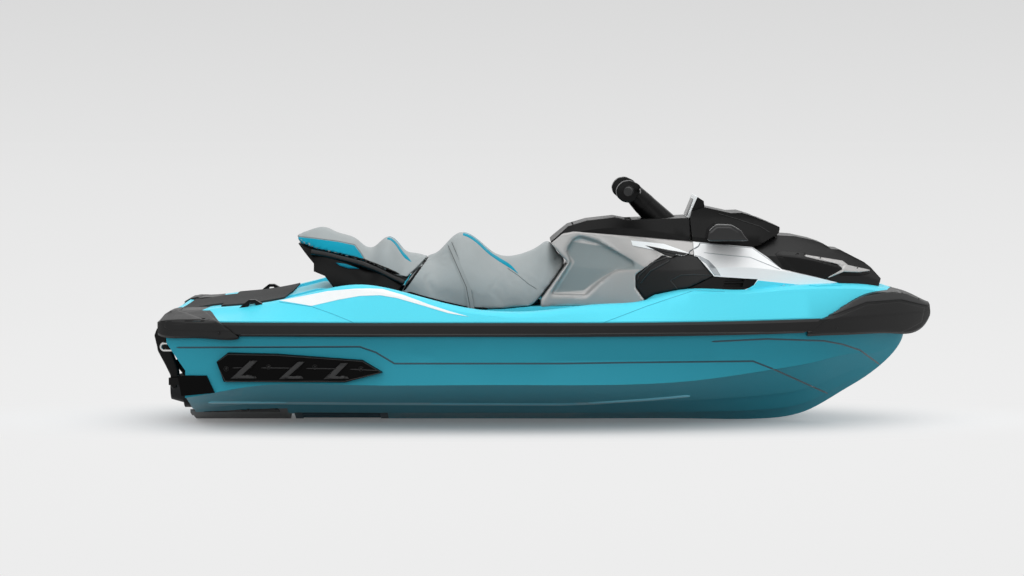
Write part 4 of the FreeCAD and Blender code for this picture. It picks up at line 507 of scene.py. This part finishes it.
def disc(centre, radius):
    """Outline of a round thing in the photograph."""
    turns = [2 * math.pi * i / DISC_SIDES for i in range(DISC_SIDES)]
    return [(centre[0] + radius * math.cos(turn), centre[1] + radius * math.sin(turn)) for turn in turns]


laid("bumper_screws", [disc(place, radius=1.6) for place in fore((1105, 627)) + aft((293, 647))],
     rail_surface, screw_black, "hull", rise=0.005, edge=0.6, cell=0.8)

# Deck cleats.
# Two arched mooring loops moulded in black plastic and bolted down, one on each side of the
# rear deck.

dress("deck_cleats", deep_black, angle=30)

# Sponsons, chine guards and ride plate.
# Injection-moulded fins screwed to the hull sides, black wedge guards at the stern, and a
# powder-coated plate under the pump. Fins and plate show their black screws.

fin_plastic = moulded_plastic("Black glass-filled moulding", "#010101", roughness=0.42, index=1.16)
for name in ("sponsons", "stern_chine_guards"):
    dress(name, fin_plastic, angle=30)
fitting_surface = surface_of("sponsons")
# Painted highlight: the fins' ribs, ridges, screw rings and edges are drawn in dark grey on the black
# fins, standing in for the light they catch.
rib_highlight_plastic = moulded_plastic("Dark grey ribs as painted highlight", "#2F2F2F", roughness=0.5)
laid("sponson_ribs", [
    aft((410, 750), (440, 749), (380, 804), (431, 807), (436, 815), (338, 816)),
    aft((588, 755), (616, 753), (556, 806), (605, 809), (610, 816), (518, 818)),
    aft((749, 759), (777, 758), (730, 806), (775, 809), (780, 816), (685, 818)),
], fitting_surface, rib_highlight_plastic, "hull", rise=0.005, edge=0.6, cell=1.0)
bead("sponson_ridges", [
    aft((345, 776), (418, 775)),
    aft((452, 776), (592, 777)),
    aft((620, 778), (755, 780)),
    aft((783, 781), (890, 786)),
], fitting_surface, rib_highlight_plastic, "hull", width=1.0, rise=0.003)
SPONSON_SCREWS = aft((322, 779), (480, 773), (653, 773), (825, 780))
laid("sponson_screws", [disc(place, radius=1.5) for place in SPONSON_SCREWS],
     fitting_surface, screw_black, "hull", rise=0.004, edge=0.6, cell=0.8)
screw_rings = [disc(place, radius=2.3) for place in SPONSON_SCREWS]
bead("sponson_screw_rings", [ring + ring[:1] for ring in screw_rings],
     fitting_surface, rib_highlight_plastic, "hull", width=0.6, rise=0.004, step=0.8)
bead("sponson_edges", [
    aft((290, 753), (327, 726), (505, 729), (830, 752), (900, 793), (765, 826), (318, 826),
        (290, 770)),
], fitting_surface, rib_highlight_plastic, "hull", width=0.9, rise=0.003)
plate_paint = moulded_plastic("Powder-coated ride plate", "#707273", roughness=0.5)
dress("ride_plate", plate_paint, angle=30)
# Painted shade: the grate takes the dark teal of the hull's shaded underside, so that it reads as part
# of the hull.
grate_painted_hull_shade = moulded_plastic("Grate in the dark teal of the hull's painted shade", "#0B3A47", roughness=0.5)
dress("intake_grate", grate_painted_hull_shade, angle=30)
plate_surface = surface_of("ride_plate")
laid("ride_plate_strip", [
    aft((183, 912), (260, 911), (515, 926), (525, 940), (240, 940), (190, 932)),
], plate_surface, black_plastic, "hull", rise=0.003, edge=0.6)
laid("ride_plate_screws", [disc(place, radius=1.4) for place in aft((262, 928), (405, 932))],
     plate_surface, screw_black, "hull", rise=0.006, edge=0.6, cell=0.8)

# Boarding ladder and its brackets.
# A moulded black frame with a wide top step and a round one, folded up against the stern on the
# pins of two brackets. Its top is lowered from the solid's, so that it stays below the top of
# the bumper.


def even_copy(name, sources, voxel, relax):
    """A closed, evenly meshed copy of solids, its edges softened as a moulding's are."""
    bpy.ops.object.select_all(action="DESELECT")
    for i, source in enumerate(sources):
        part = bpy.data.objects.new(name, node[source].data.copy())
        bpy.context.scene.collection.objects.link(part)
        part.data.materials.clear()
        part.select_set(True)
        bpy.context.view_layer.objects.active = part
    if len(sources) > 1:
        bpy.ops.object.join()
    copy = bpy.context.view_layer.objects.active
    copy.name = name
    bpy.ops.object.mode_set(mode="EDIT")
    bpy.ops.mesh.select_all(action="SELECT")
    bpy.ops.mesh.remove_doubles(threshold=0.00005)
    bpy.ops.object.mode_set(mode="OBJECT")
    even = copy.modifiers.new("Even mesh", "REMESH")
    even.mode = "VOXEL"
    even.voxel_size = voxel
    even.use_smooth_shade = True
    bpy.ops.object.modifier_apply(modifier=even.name)
    soften = copy.modifiers.new("Softened edges", "SMOOTH")
    soften.factor = 0.5
    soften.iterations = relax
    bpy.ops.object.modifier_apply(modifier=soften.name)
    return copy


LADDER_WAIST = 0.09  # height in metres above which the frame is lowered
LADDER_LEFT = 0.55  # share of the height over its waist that is left
ladder = even_copy("ladder_frame", ["boarding_ladder"], voxel=0.006, relax=3)
for vertex in ladder.data.vertices:
    vertex.co.z = min(vertex.co.z, LADDER_WAIST + LADDER_LEFT * (vertex.co.z - LADDER_WAIST))
ladder.data.materials.append(deep_black)
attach(ladder, "ladder")
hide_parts("boarding_ladder")
dress("ladder_brackets", deep_black, angle=30)

# Seats.
# Moulded foam cushions under a stretched cover of grey marine vinyl, with teal panels sewn in,
# piped seams and a black trim along their lower edges.

VINYL_GRAIN = 7.0  # millimetres: embossed cells of 3 mm, drawn coarser so that they show from here


def marine_vinyl(name, colour, index=1.38):
    """Calendered vinyl cover: a soft sheen, an embossed leather grain, and slight colour drift."""
    made, tree, place = on_object(name)
    cells = add(tree, "TexVoronoi", {
        "Vector": place, "Scale": 1000 / VINYL_GRAIN}, feature="DISTANCE_TO_EDGE")
    cell_edge = add(tree, "MapRange", {"Value": cells.outputs["Distance"], "From Max": 0.12})
    drift = add(tree, "TexNoise", {"Vector": place, "Scale": 6.0, "Detail": 3.0})
    shade = add(tree, "MapRange", {
        "Value": drift, "From Min": 0.3, "From Max": 0.7, "To Min": 0.93, "To Max": 1.05})
    tint = add(tree, "VectorMath", {0: linear(colour)[:3], "Scale": shade}, operation="SCALE")
    shine = add(tree, "MapRange", {"Value": drift, "To Min": 0.46, "To Max": 0.62})
    bump = add(tree, "Bump", {"Height": cell_edge, "Strength": 0.3, "Distance": 0.0006})
    shader = add(tree, "BsdfPrincipled", {
        "Base Color": tint, "Roughness": shine, "IOR": index, "Sheen Weight": 0.04,
        "Sheen Roughness": 0.5, "Normal": bump})
    add(tree, "OutputMaterial", {"Surface": shader})
    return made


grey_vinyl = marine_vinyl("Grey marine vinyl", "#A2A8A8")
seam_vinyl = marine_vinyl("Grey piping", "#868C8C")
teal_vinyl = marine_vinyl("Teal marine vinyl", "#0096B0", index=1.2)
# Painted shade: a darker copy of the teal vinyl, for the parts of the panels that lie in shade.
shaded_teal_vinyl = marine_vinyl("Teal marine vinyl in painted shade", "#077C92", index=1.2)

COVER_SLACK = 0.003  # how far the cover is drawn in before it is blown out
COVER_REACH = 0.006  # the furthest it may move from the solid's face
CLOTH_FRAMES = 14


def padded_cover(name, source, material, body, voxel):
    """A seat cover blown out over its foam: the solid remeshed, then stretched by cloth pressure."""
    pad = even_copy(name, [source], voxel, relax=2)
    before = [v.co.copy() for v in pad.data.vertices]
    pull_in = pad.modifiers.new("Slack", "DISPLACE")
    pull_in.strength = -COVER_SLACK
    pull_in.mid_level = 0.0
    bpy.ops.object.modifier_apply(modifier=pull_in.name)
    cloth = pad.modifiers.new("Cover", "CLOTH")
    cloth.settings.use_pressure = True
    cloth.settings.uniform_pressure_force = 4.0
    cloth.settings.effector_weights.gravity = 0.0
    cloth.settings.quality = 4
    for frame_number in range(1, CLOTH_FRAMES + 1):
        bpy.context.scene.frame_set(frame_number)
    bpy.ops.object.modifier_apply(modifier=cloth.name)
    bpy.context.scene.frame_set(1)
    for vertex, start in zip(pad.data.vertices, before):
        moved = vertex.co - start
        if moved.length > COVER_REACH:
            vertex.co = start + moved * (COVER_REACH / moved.length)
    fair = pad.modifiers.new("Fair", "SMOOTH")
    fair.factor = 0.5
    fair.iterations = 1
    bpy.ops.object.modifier_apply(modifier=fair.name)
    pad.data.polygons.foreach_set("use_smooth", [True] * len(pad.data.polygons))
    pad.data.materials.append(material)
    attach(pad, body)
    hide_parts(source)
    return pad


padded_cover("driver_seat_cover", "driver_cushion", grey_vinyl, "hull", voxel=0.009)
passenger_pad = padded_cover("passenger_seat_cover", "passenger_cushion", grey_vinyl, "passenger_seat",
                             voxel=0.0065)
TAIL_START, TAIL_END = -0.74, -0.892  # where the cushion's rear end begins to sweep up, and its tip
TAIL_SWEEP = Vector((-0.013, 0, 0.019))
WALLS_FOLLOW = 0.6  # the share of the sweep that upright faces follow, while the underside stays
cover = passenger_pad.data
turned_up = [min(1.0, max(0.0, WALLS_FOLLOW + vertex.normal.z)) for vertex in cover.vertices]
for vertex, upper in zip(cover.vertices, turned_up):
    reach = min(1.0, max(0.0, (vertex.co.x - TAIL_START) / (TAIL_END - TAIL_START)))
    vertex.co += TAIL_SWEEP * reach ** 2 * upper
driver_surface = surface_of("driver_seat_cover")
passenger_surface = surface_of("passenger_seat_cover")
base_surface = surface_of("passenger_base", "passenger_seat_cover")

laid("passenger_side_panels", [
    aft((585, 287), (650, 294), (740, 306), (800, 319), (824, 350), (843, 383), (800, 372),
        (700, 345), (620, 330)),
], passenger_surface, teal_vinyl, "passenger_seat", rise=0.002, edge=0.8)
# Painted shade over the lower part of each teal panel.
laid("passenger_panel_painted_shade", [
    aft((600, 318), (700, 334), (800, 356), (836, 372), (843, 383), (800, 374), (700, 347),
        (620, 332)),
], passenger_surface, shaded_teal_vinyl, "passenger_seat",
     rise=0.0026, edge=0.6, cell=1.2)
bead("passenger_edge_trims", [
    aft((597, 311), (637, 327), (674, 336.5), (711, 346), (749, 352.5), (794, 363.5), (839, 375),
        (880, 390), (925, 408), (968, 427)),
], base_surface, deep_black, "passenger_seat", width=2.4, rise=0.006, step=1.5)
laid("passenger_bolster_stripes", [
    [(-50.5, -3.5), (-46.0, -4.5), (-42.0, -8.5), (-39.5, -12.5), (-42.5, -11.2), (-46.5, -8.0),
     (-50.5, -6.8)],
], passenger_surface, teal_vinyl, "passenger_seat",
     rise=0.002, edge=0.5, cell=1.0, view=from_above)
bead("passenger_seams", [
    aft((585, 284), (650, 291), (740, 303), (802, 316), (826, 348), (846, 384)),
    aft((843, 386), (880, 400), (940, 425), (990, 437)),
], passenger_surface, seam_vinyl, "passenger_seat", width=0.7, rise=0.0022, step=1.5)
laid("driver_stripes", [
    [(-17.0, -3.0), (-10.0, -3.5), (-2.0, -6.5), (3.0, -11.5), (7.5, -16.5), (2.5, -13.6),
     (-3.0, -9.8), (-10.0, -7.5), (-17.0, -6.5)],
], driver_surface, teal_vinyl, "hull",
     rise=0.002, edge=0.6, cell=1.0, view=from_above)
bead("driver_seams", [
    aft((1372, 404), (1414, 432), (1450, 462), (1482, 482)),
], driver_surface, seam_vinyl, "hull", width=0.7, rise=0.002, step=1.5)
bead("driver_edge_trims", [
    aft((1080, 352), (1052, 393), (1020, 438), (984, 489)),
    aft((998, 492), (1056, 510), (1139, 532), (1221, 551), (1304, 556)),
], driver_surface, deep_black, "hull", width=2.2, rise=0.004, step=1.5)

# Seat strap.
# A flat strap of the same grey vinyl over webbing, with a bound edge on each side, held under
# both sides of the rider's cushion.

strap_vinyl = marine_vinyl("Folded strap vinyl", "#989E9E")
dress("seat_strap", strap_vinyl, angle=40)
strap_surface = surface_of("seat_strap")
strap_binding = moulded_plastic("Bound strap edge", "#5A5E5E", roughness=0.7)
bead("strap_edges", [
    aft((1147, 312), (1182, 392), (1218, 474), (1234, 558)),
    aft((1163, 306), (1199, 388), (1236, 472), (1250, 558)),
], strap_surface, strap_binding, "hull", width=0.6, rise=0.0015, step=1.5)

# Grab rails and seat base.
# One black moulding under the passenger's cushion, with a smooth rail and a teal panel along
# each side.

dress("passenger_base", deep_black, angle=35)
rail_gloss = moulded_plastic("Smooth black grab rail", "#0A0A0A", roughness=0.28, depth=0.0001)
RAIL_RADIUS = 0.013
RAIL_STANDS = 0.005  # how far the rail's middle stands out from the moulding
RAIL_LINE = aft((640, 343), (700, 355), (770, 373), (830, 388), (880, 408), (935, 436), (985, 458))
spots = [landing(base_surface, place)[0] for place in along(RAIL_LINE, step=2.0, closed=False)]
spots = [spot for spot in spots if spot is not None]
bend = np.polyfit([spot.x for spot in spots], [spot.y for spot in spots], 2)
for side, hand in ((1, "starboard"), (-1, "port")):
    bpy.ops.curve.primitive_nurbs_path_add(location=(0, 0, 0))
    rod = bpy.context.object
    rod.name = "grab_rail_" + hand
    rod.data.splines.clear()
    spline = rod.data.splines.new("NURBS")
    spline.points.add(len(spots) - 1)
    for point, spot in zip(spline.points, spots):
        point.co = (spot.x, side * (np.polyval(bend, spot.x) - RAIL_STANDS), spot.z, 1)
    spline.use_endpoint_u = True
    rod.data.bevel_depth = RAIL_RADIUS
    rod.data.bevel_resolution = 4
    rod.data.use_fill_caps = True
    bpy.ops.object.convert(target="MESH")
    rod = bpy.context.object
    rod.data.materials.append(rail_gloss)
    rod.data.polygons.foreach_set("use_smooth", [True] * len(rod.data.polygons))
    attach(rod, "passenger_seat")
# The real teal panel under the rail is drawn in the shaded copy of the teal vinyl: painted shade.
laid("base_panels", [
    aft((730, 384), (768, 389), (818, 407), (778, 405), (747, 396)),
], base_surface, shaded_teal_vinyl, "passenger_seat", rise=0.008, edge=0.5, cell=1.0)

# Console sides, knee pads and blades.
# Silver metallic painted panels with recessed satin grey knee pads, and white blades over a black
# sliver.

silver_paint = painted_gelcoat("Silver metallic paint", "#BCBAB8", flake=0.35)
pearl_paint = painted_gelcoat("Pearl white paint", "#F4F5F5", flake=0.0, rough=0.4, coat=0.2)
dress("console_blades", white_film, angle=28)


def pixel_of(point):
    """Place in the photograph of a point, or of its mirror image on the starboard side."""
    away = Vector((point.x, -abs(point.y), point.z)) - EYE
    depth = away.y * math.cos(TILT) - away.z * math.sin(TILT)
    lift = away.y * math.sin(TILT) + away.z * math.cos(TILT)
    return MIDDLE_X + FOCUS * away.x / depth, MIDDLE_Y - FOCUS * lift / depth


def recessed_paint(name):
    """Silver metallic paint, and the satin grey pad where the mesh's attribute marks the recess."""
    made = painted_gelcoat(name, "#AEACAA", flake=0.35)
    tree = made.node_tree
    paint = tree.nodes["Principled BSDF"]
    out = tree.nodes["Material Output"]
    place = add(tree, "TexCoord").outputs["Object"]
    pores = add(tree, "TexVoronoi", {"Vector": place, "Scale": 500.0})
    bump = add(tree, "Bump", {"Height": pores.outputs["Distance"], "Strength": 0.3, "Distance": 0.0005})
    pad = add(tree, "BsdfPrincipled", {
        "Base Color": linear("#8D9595"), "Roughness": 0.5, "Normal": bump})
    share = add(tree, "Attribute", attribute_name="recess")
    step = add(tree, "MapRange", {"Value": share.outputs["Fac"], "From Min": 0.4, "From Max": 0.6})
    both = add(tree, "MixShader", {0: step, 1: paint, 2: pad})
    tree.links.new(both.outputs[0], out.inputs["Surface"])
    return made


KNEE_OUTLINE = helm((66, 824), (205, 602), (172, 562), (155, 492), (200, 447), (450, 482), (720, 632),
                    (682, 668), (500, 670), (410, 722), (290, 806))
KNEE_BAND = 9.0  # reach of the softened wall round the recess, in pixels of the photograph
KNEE_EDGE = 3.0  # how far inside the outline the pad's colour starts, in the same pixels

console = even_copy("console_panels", ["console_sides", "knee_pads"], voxel=0.006, relax=2)
ring = along(KNEE_OUTLINE, step=2.0)
pixels = np.array([pixel_of(v.co) for v in console.data.vertices])
reach = edge_distance(pixels, ring)
depth = np.where(inside(pixels, ring), np.minimum(1.0, reach / (2 * KNEE_EDGE)), 0.0)
console.data.attributes.new("recess", "FLOAT", "POINT").data.foreach_set("value", depth)
wall = console.vertex_groups.new(name="recess wall")
for index in np.flatnonzero(reach < KNEE_BAND):
    wall.add([int(index)], min(1.0, 2 - 2 * reach[index] / KNEE_BAND), "REPLACE")
fair = console.modifiers.new("Softened recess", "SMOOTH")
fair.vertex_group = wall.name
fair.factor = 0.5
fair.iterations = 16
bpy.ops.object.modifier_apply(modifier=fair.name)
console.data.materials.append(recessed_paint("Silver metallic paint with grey knee pads"))
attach(console, "hull")
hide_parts("console_sides", "knee_pads")
shadow_grey = moulded_plastic("Shaded grey panel", "#6E7679", roughness=0.5)
blade_surface = surface_of("console_panels", "console_blades", "front_fenders")
laid("blade_slivers", [
    helm((690, 493), (834, 522), (977, 547), (958, 557), (891, 576), (819, 557), (757, 526)),
], blade_surface, black_plastic, "hull", rise=0.0025, edge=0.4, cell=0.5)
bead("console_seams", [
    helm((1050, 470), (1035, 500), (980, 530), (968, 556)),
], blade_surface, shadow_grey, "hull", width=0.8, rise=0.0035, step=0.8)

# Console top, glovebox lid and steering column cover.
# Textured black mouldings: a top with a bin let into it, the hinged lid over that bin, and a
# collar and cone round the steering column.

for name in ("console_top", "glovebox_lid", "column_cover"):
    dress(name, deep_black, angle=30)

# Handlebar, grips and levers.
# Black powder-coated bar with ribbed rubber grips, cast levers and a moulded switch housing
# inboard of each grip.


def ribbed_rubber(name, colour):
    """Grip rubber: rings 8 mm apart round the bar, dull and slightly dusty."""
    made, tree, place = on_object(name)
    rings = add(tree, "TexWave", {"Vector": place, "Scale": 40.0}, bands_direction="Y")
    dust = add(tree, "TexNoise", {"Vector": place, "Scale": 60.0, "Detail": 3.0})
    shine = add(tree, "MapRange", {"Value": dust, "To Min": 0.55, "To Max": 0.8})
    bump = add(tree, "Bump", {"Height": rings.outputs["Fac"], "Strength": 0.6, "Distance": 0.0012})
    shader = add(tree, "BsdfPrincipled", {
        "Base Color": linear(colour), "Roughness": shine, "Normal": bump})
    add(tree, "OutputMaterial", {"Surface": shader})
    return made


grip_rubber = ribbed_rubber("Ribbed grip rubber", "#1D1D1D")
dress("handlebar", deep_black, angle=35)
dress("grips", grip_rubber, angle=40)
dress("levers", deep_black, angle=35)


def block(name, corners, depth, material, body, edge, sides=(1, -1)):
    """A moulding with these corners and this depth, its edges rounded, on one or both sides."""
    mesh = bmesh.new()
    for mirror in sides:
        turn = Matrix.Scale(mirror, 4, (0, 1, 0))
        near = [mesh.verts.new(turn @ corner) for corner in corners]
        far = [mesh.verts.new(turn @ (corner + depth)) for corner in corners]
        mesh.faces.new(near)
        mesh.faces.new(far[::-1])
        for i in range(len(corners)):
            mesh.faces.new([near[i - 1], near[i], far[i], far[i - 1]])
    bmesh.ops.recalc_face_normals(mesh, faces=mesh.faces)
    bmesh.ops.bevel(mesh, geom=mesh.edges[:], offset=edge, segments=3, profile=0.5, affect="EDGES")
    return settle(name, mesh, material, body, crisp=60)


def in_plane(outline, y):
    """Points of an upright plane along the craft that are seen at these places in the photograph."""
    return [EYE + sight(*place) * ((y - EYE.y) / sight(*place).y) for place in outline]


HOUSING_WIDTH = 0.066
HOUSING_OUTLINE = [(616, 191), (618.5, 185.5), (623, 181.6), (630.5, 180.4), (639, 184.2), (641.5, 188),
                   (639, 194.5), (634.5, 201), (628.5, 203), (622.5, 201.8), (617.5, 197.4)]
grips = node["grips"]
grip_starts = min(abs((grips.matrix_world @ v.co).y) for v in grips.data.vertices)
block("switch_housings", in_plane(HOUSING_OUTLINE, -grip_starts), Vector((0, HOUSING_WIDTH, 0)),
      deep_black, "handlebar", edge=0.008)

# Fenders, speaker pods and vents.
# Pearl white painted fenders with a grey inner band. Black speaker housings and slotted panels
# are let into them.

dress("front_fenders", pearl_paint, angle=26)
gloss_black = moulded_plastic("Gloss black moulded plastic", "#040404", roughness=0.16, depth=0.00002,
                              index=1.32)
pods = even_copy("speaker_housings", ["speaker_pods"], voxel=0.005, relax=14)
pods.data.materials.append(black_plastic)
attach(pods, "hull")
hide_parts("speaker_pods")
dress("side_vents", deep_black, angle=30)
fender_surface = surface_of("front_fenders", "console_panels")
pod_surface = surface_of("speaker_housings", "front_fenders")
fender_grey_and_crease_shade = painted_gelcoat("Grey inner fender panel and painted crease shade", "#9EA3A6", flake=0.4)
laid("fender_bands", [
    helm((985, 552), (1045, 562), (1100, 590), (1150, 640), (1180, 690), (1140, 688), (1085, 612),
         (1005, 560)),
], fender_surface, fender_grey_and_crease_shade, "hull", rise=0.001, edge=0.6, cell=1.0)
# Painted shade: grey beads along the fender's creases stand in for the shade in them.
bead("fender_creases", [
    helm((1070, 540), (1200, 555), (1370, 570), (1568, 650)),
    nose((0, 520), (200, 540), (430, 560), (560, 650), (690, 745)),
], fender_surface, fender_grey_and_crease_shade, "hull", width=0.6, rise=0.0012, step=1.5)
# Painted highlight: dark grey beads on the black speaker rims and swooshes.
bead("speaker_rings", [
    helm((640, 722), (645, 692), (690, 650), (750, 602), (830, 572), (850, 580)),
    helm((655, 742), (720, 662), (850, 592)),
], pod_surface, highlight_grey_plastic, "hull", width=1.1, rise=0.004, step=1.0)
bead("speaker_swooshes", [
    helm((1128, 690), (1020, 682), (920, 687), (852, 722), (900, 778)),
], pod_surface, highlight_grey_plastic, "hull", width=0.9, rise=0.003, step=1.0)

# Storage lid, gauge and mirrors.
# A black moulded lid hinged at its front edge, a gauge pod with a light bezel, and two glossy
# black mirror shells moulded on the lid.

dress("storage_lid", deep_black, angle=30)
shells = even_copy("mirror_shells", ["mirrors"], voxel=0.004, relax=50)
# Painted highlight: the glossy black shells are lightened to charcoal, standing in for the light on
# their tops.
mirror_gloss_highlight = moulded_plastic("Gloss black plastic lightened as painted highlight", "#141415", roughness=0.12,
                               depth=0.00001, index=1.5)
shells.data.materials.append(mirror_gloss_highlight)
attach(shells, "front_lid")
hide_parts("mirrors")
dress("gauge", deep_black, angle=30)
BEZEL_SIDE = 0.02  # width of the bezel beside the screen
low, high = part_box("gauge")
bezel_corners = in_plane(helm((960, 310), (1016, 166), (1033, 174), (978, 313)), low.y)
screen_corners = in_plane(helm((957, 300), (1009, 178), (1020, 182), (970, 304)), low.y + BEZEL_SIDE)
block("gauge_bezel", bezel_corners, Vector((0, high.y - low.y, 0)),
      white_film, "front_lid", edge=0.002, sides=(1,))
block("gauge_screen", screen_corners, Vector((0, high.y - low.y - 2 * BEZEL_SIDE, 0)),
      gloss_black, "front_lid", edge=0.002, sides=(1,))
lid_surface = surface_of("storage_lid")
# Painted highlight along the lid's creases.
bead("lid_creases", [
    nose((150, 277), (330, 330), (500, 386), (580, 436)),
    nose((0, 205), (120, 235), (240, 268), (340, 263), (480, 316), (625, 377)),
], lid_surface, highlight_grey_plastic, "front_lid", width=0.7, rise=0.0025, step=1.5)

# Hood.
# One satin black moulding with a raised middle, gloss insets and silver blades. Below its edge
# the turquoise deck runs up the foot of each fender in a wedge.

dress("front_hood", black_plastic, angle=28)
for name in ("hood_inserts", "hood_blades"):
    dress(name, gloss_black, angle=28)
hood_surface = surface_of("front_hood", "hood_inserts", "hood_blades")
laid("hood_insets", [
    nose((621, 610), (660, 586), (867, 598), (878, 634), (1138, 696), (1179, 734), (1053, 805),
         (872, 766), (696, 743)),
], hood_surface, gloss_black, "hull", rise=0.002, edge=0.5)
laid("hood_silver_blades", [
    nose((861, 626), (872, 620), (1173, 668), (1220, 704), (1397, 743), (1401, 751), (1315, 763),
         (1185, 758), (1061, 808), (1053, 803), (1176, 736), (1138, 700), (876, 637)),
], hood_surface, silver_paint, "hull", rise=0.0045, edge=0.4, cell=0.9)
wedge_surface = surface_of("front_fenders", "deck", "side_vents")
laid("deck_wedges", [
    nose((477, 829), (731, 855), (973, 878), (1173, 868), (1134, 850), (990, 859), (825, 869),
         (660, 881), (507, 896), (375, 907), (446, 867)),
], wedge_surface, deck_gelcoat, "hull", rise=0.003, edge=0.4, cell=1.0, lip=0.6)
# Painted highlight along the hood's crease.
bead("hood_creases", [
    nose((690, 456), (780, 450), (870, 452), (930, 472), (990, 500), (1060, 556)),
], hood_surface, highlight_grey_plastic, "hull", width=0.6, rise=0.0025, step=1.5)

# Mats.
# Closed-cell foam sheets with grooves cut along them, glued to the platform and the footwells.


def grooved_foam(name, colour):
    """Closed-cell foam: a speckle of 1.4 mm, with grooves 39 mm apart cut along the craft, painted
    darker as their shade.
    """
    made, tree, place = on_object(name)
    cuts = add(tree, "TexWave", {
        "Vector": place, "Scale": 8.0}, bands_direction="Y", wave_profile="SAW")
    line = add(tree, "MapRange", {"Value": cuts.outputs["Fac"], "From Max": 0.14})
    speck = add(tree, "TexNoise", {"Vector": place, "Scale": 700.0, "Detail": 3.0})
    shade = add(tree, "MapRange", {"Value": speck, "To Min": 0.8, "To Max": 1.15})
    tint = add(tree, "VectorMath", {0: linear(colour)[:3], "Scale": shade}, operation="SCALE")
    # Painted shade: the grooves are darkened in colour as well as bumped.
    dark = add(tree, "Mix", {"Factor": line, "A": linear("#161616"), "B": tint}, data_type="RGBA")
    bump = add(tree, "Bump", {"Height": line, "Strength": 0.6, "Distance": 0.002})
    shader = add(tree, "BsdfPrincipled", {
        "Base Color": dark.outputs[2], "Roughness": 0.85, "Normal": bump})
    add(tree, "OutputMaterial", {"Surface": shader})
    return made


foam = grooved_foam("Grooved closed-cell foam", "#2C2C2C")
for name in ("platform_mat", "footwell_mats"):
    dress(name, foam)

# Engine and jet drive.
# Cast and anodised aluminium parts with a stainless impeller, shaft and pins, and a black moulded
# reverse gate.


def metal(name, colour, roughness):
    """Cast or machined metal: a casting grain of 3 mm in its shine and surface."""
    made, tree, place = on_object(name)
    cast = add(tree, "TexNoise", {"Vector": place, "Scale": 300.0, "Detail": 3.0})
    shine = add(tree, "MapRange", {
        "Value": cast, "To Min": roughness - 0.08, "To Max": roughness + 0.08})
    bump = add(tree, "Bump", {"Height": cast, "Strength": 0.2, "Distance": 0.0003})
    shader = add(tree, "BsdfPrincipled", {
        "Base Color": linear(colour), "Metallic": 1.0, "Roughness": shine, "Normal": bump})
    add(tree, "OutputMaterial", {"Surface": shader})
    return made


cast_aluminium = metal("Anodised cast aluminium", "#8A8C8E", roughness=0.42)
for name in ("pump_housing", "engine_block"):
    dress(name, cast_aluminium)
dark_aluminium = metal("Hard-anodised dark aluminium", "#2C2D2E", roughness=0.5)
for name in ("trim_ring", "steering_nozzle"):
    dress(name, dark_aluminium)
stainless = metal("Polished stainless steel", "#C8C8C6", roughness=0.2)
for name in ("impeller", "drive_shaft", "gate_pins"):
    dress(name, stainless)
dress("reverse_gate", deep_black, angle=30)

# Tow eyes.
# Two U-bolts of polished stainless steel that stand upright on the stern, one on each side of
# the ladder.

dress("tow_eyes", stainless)
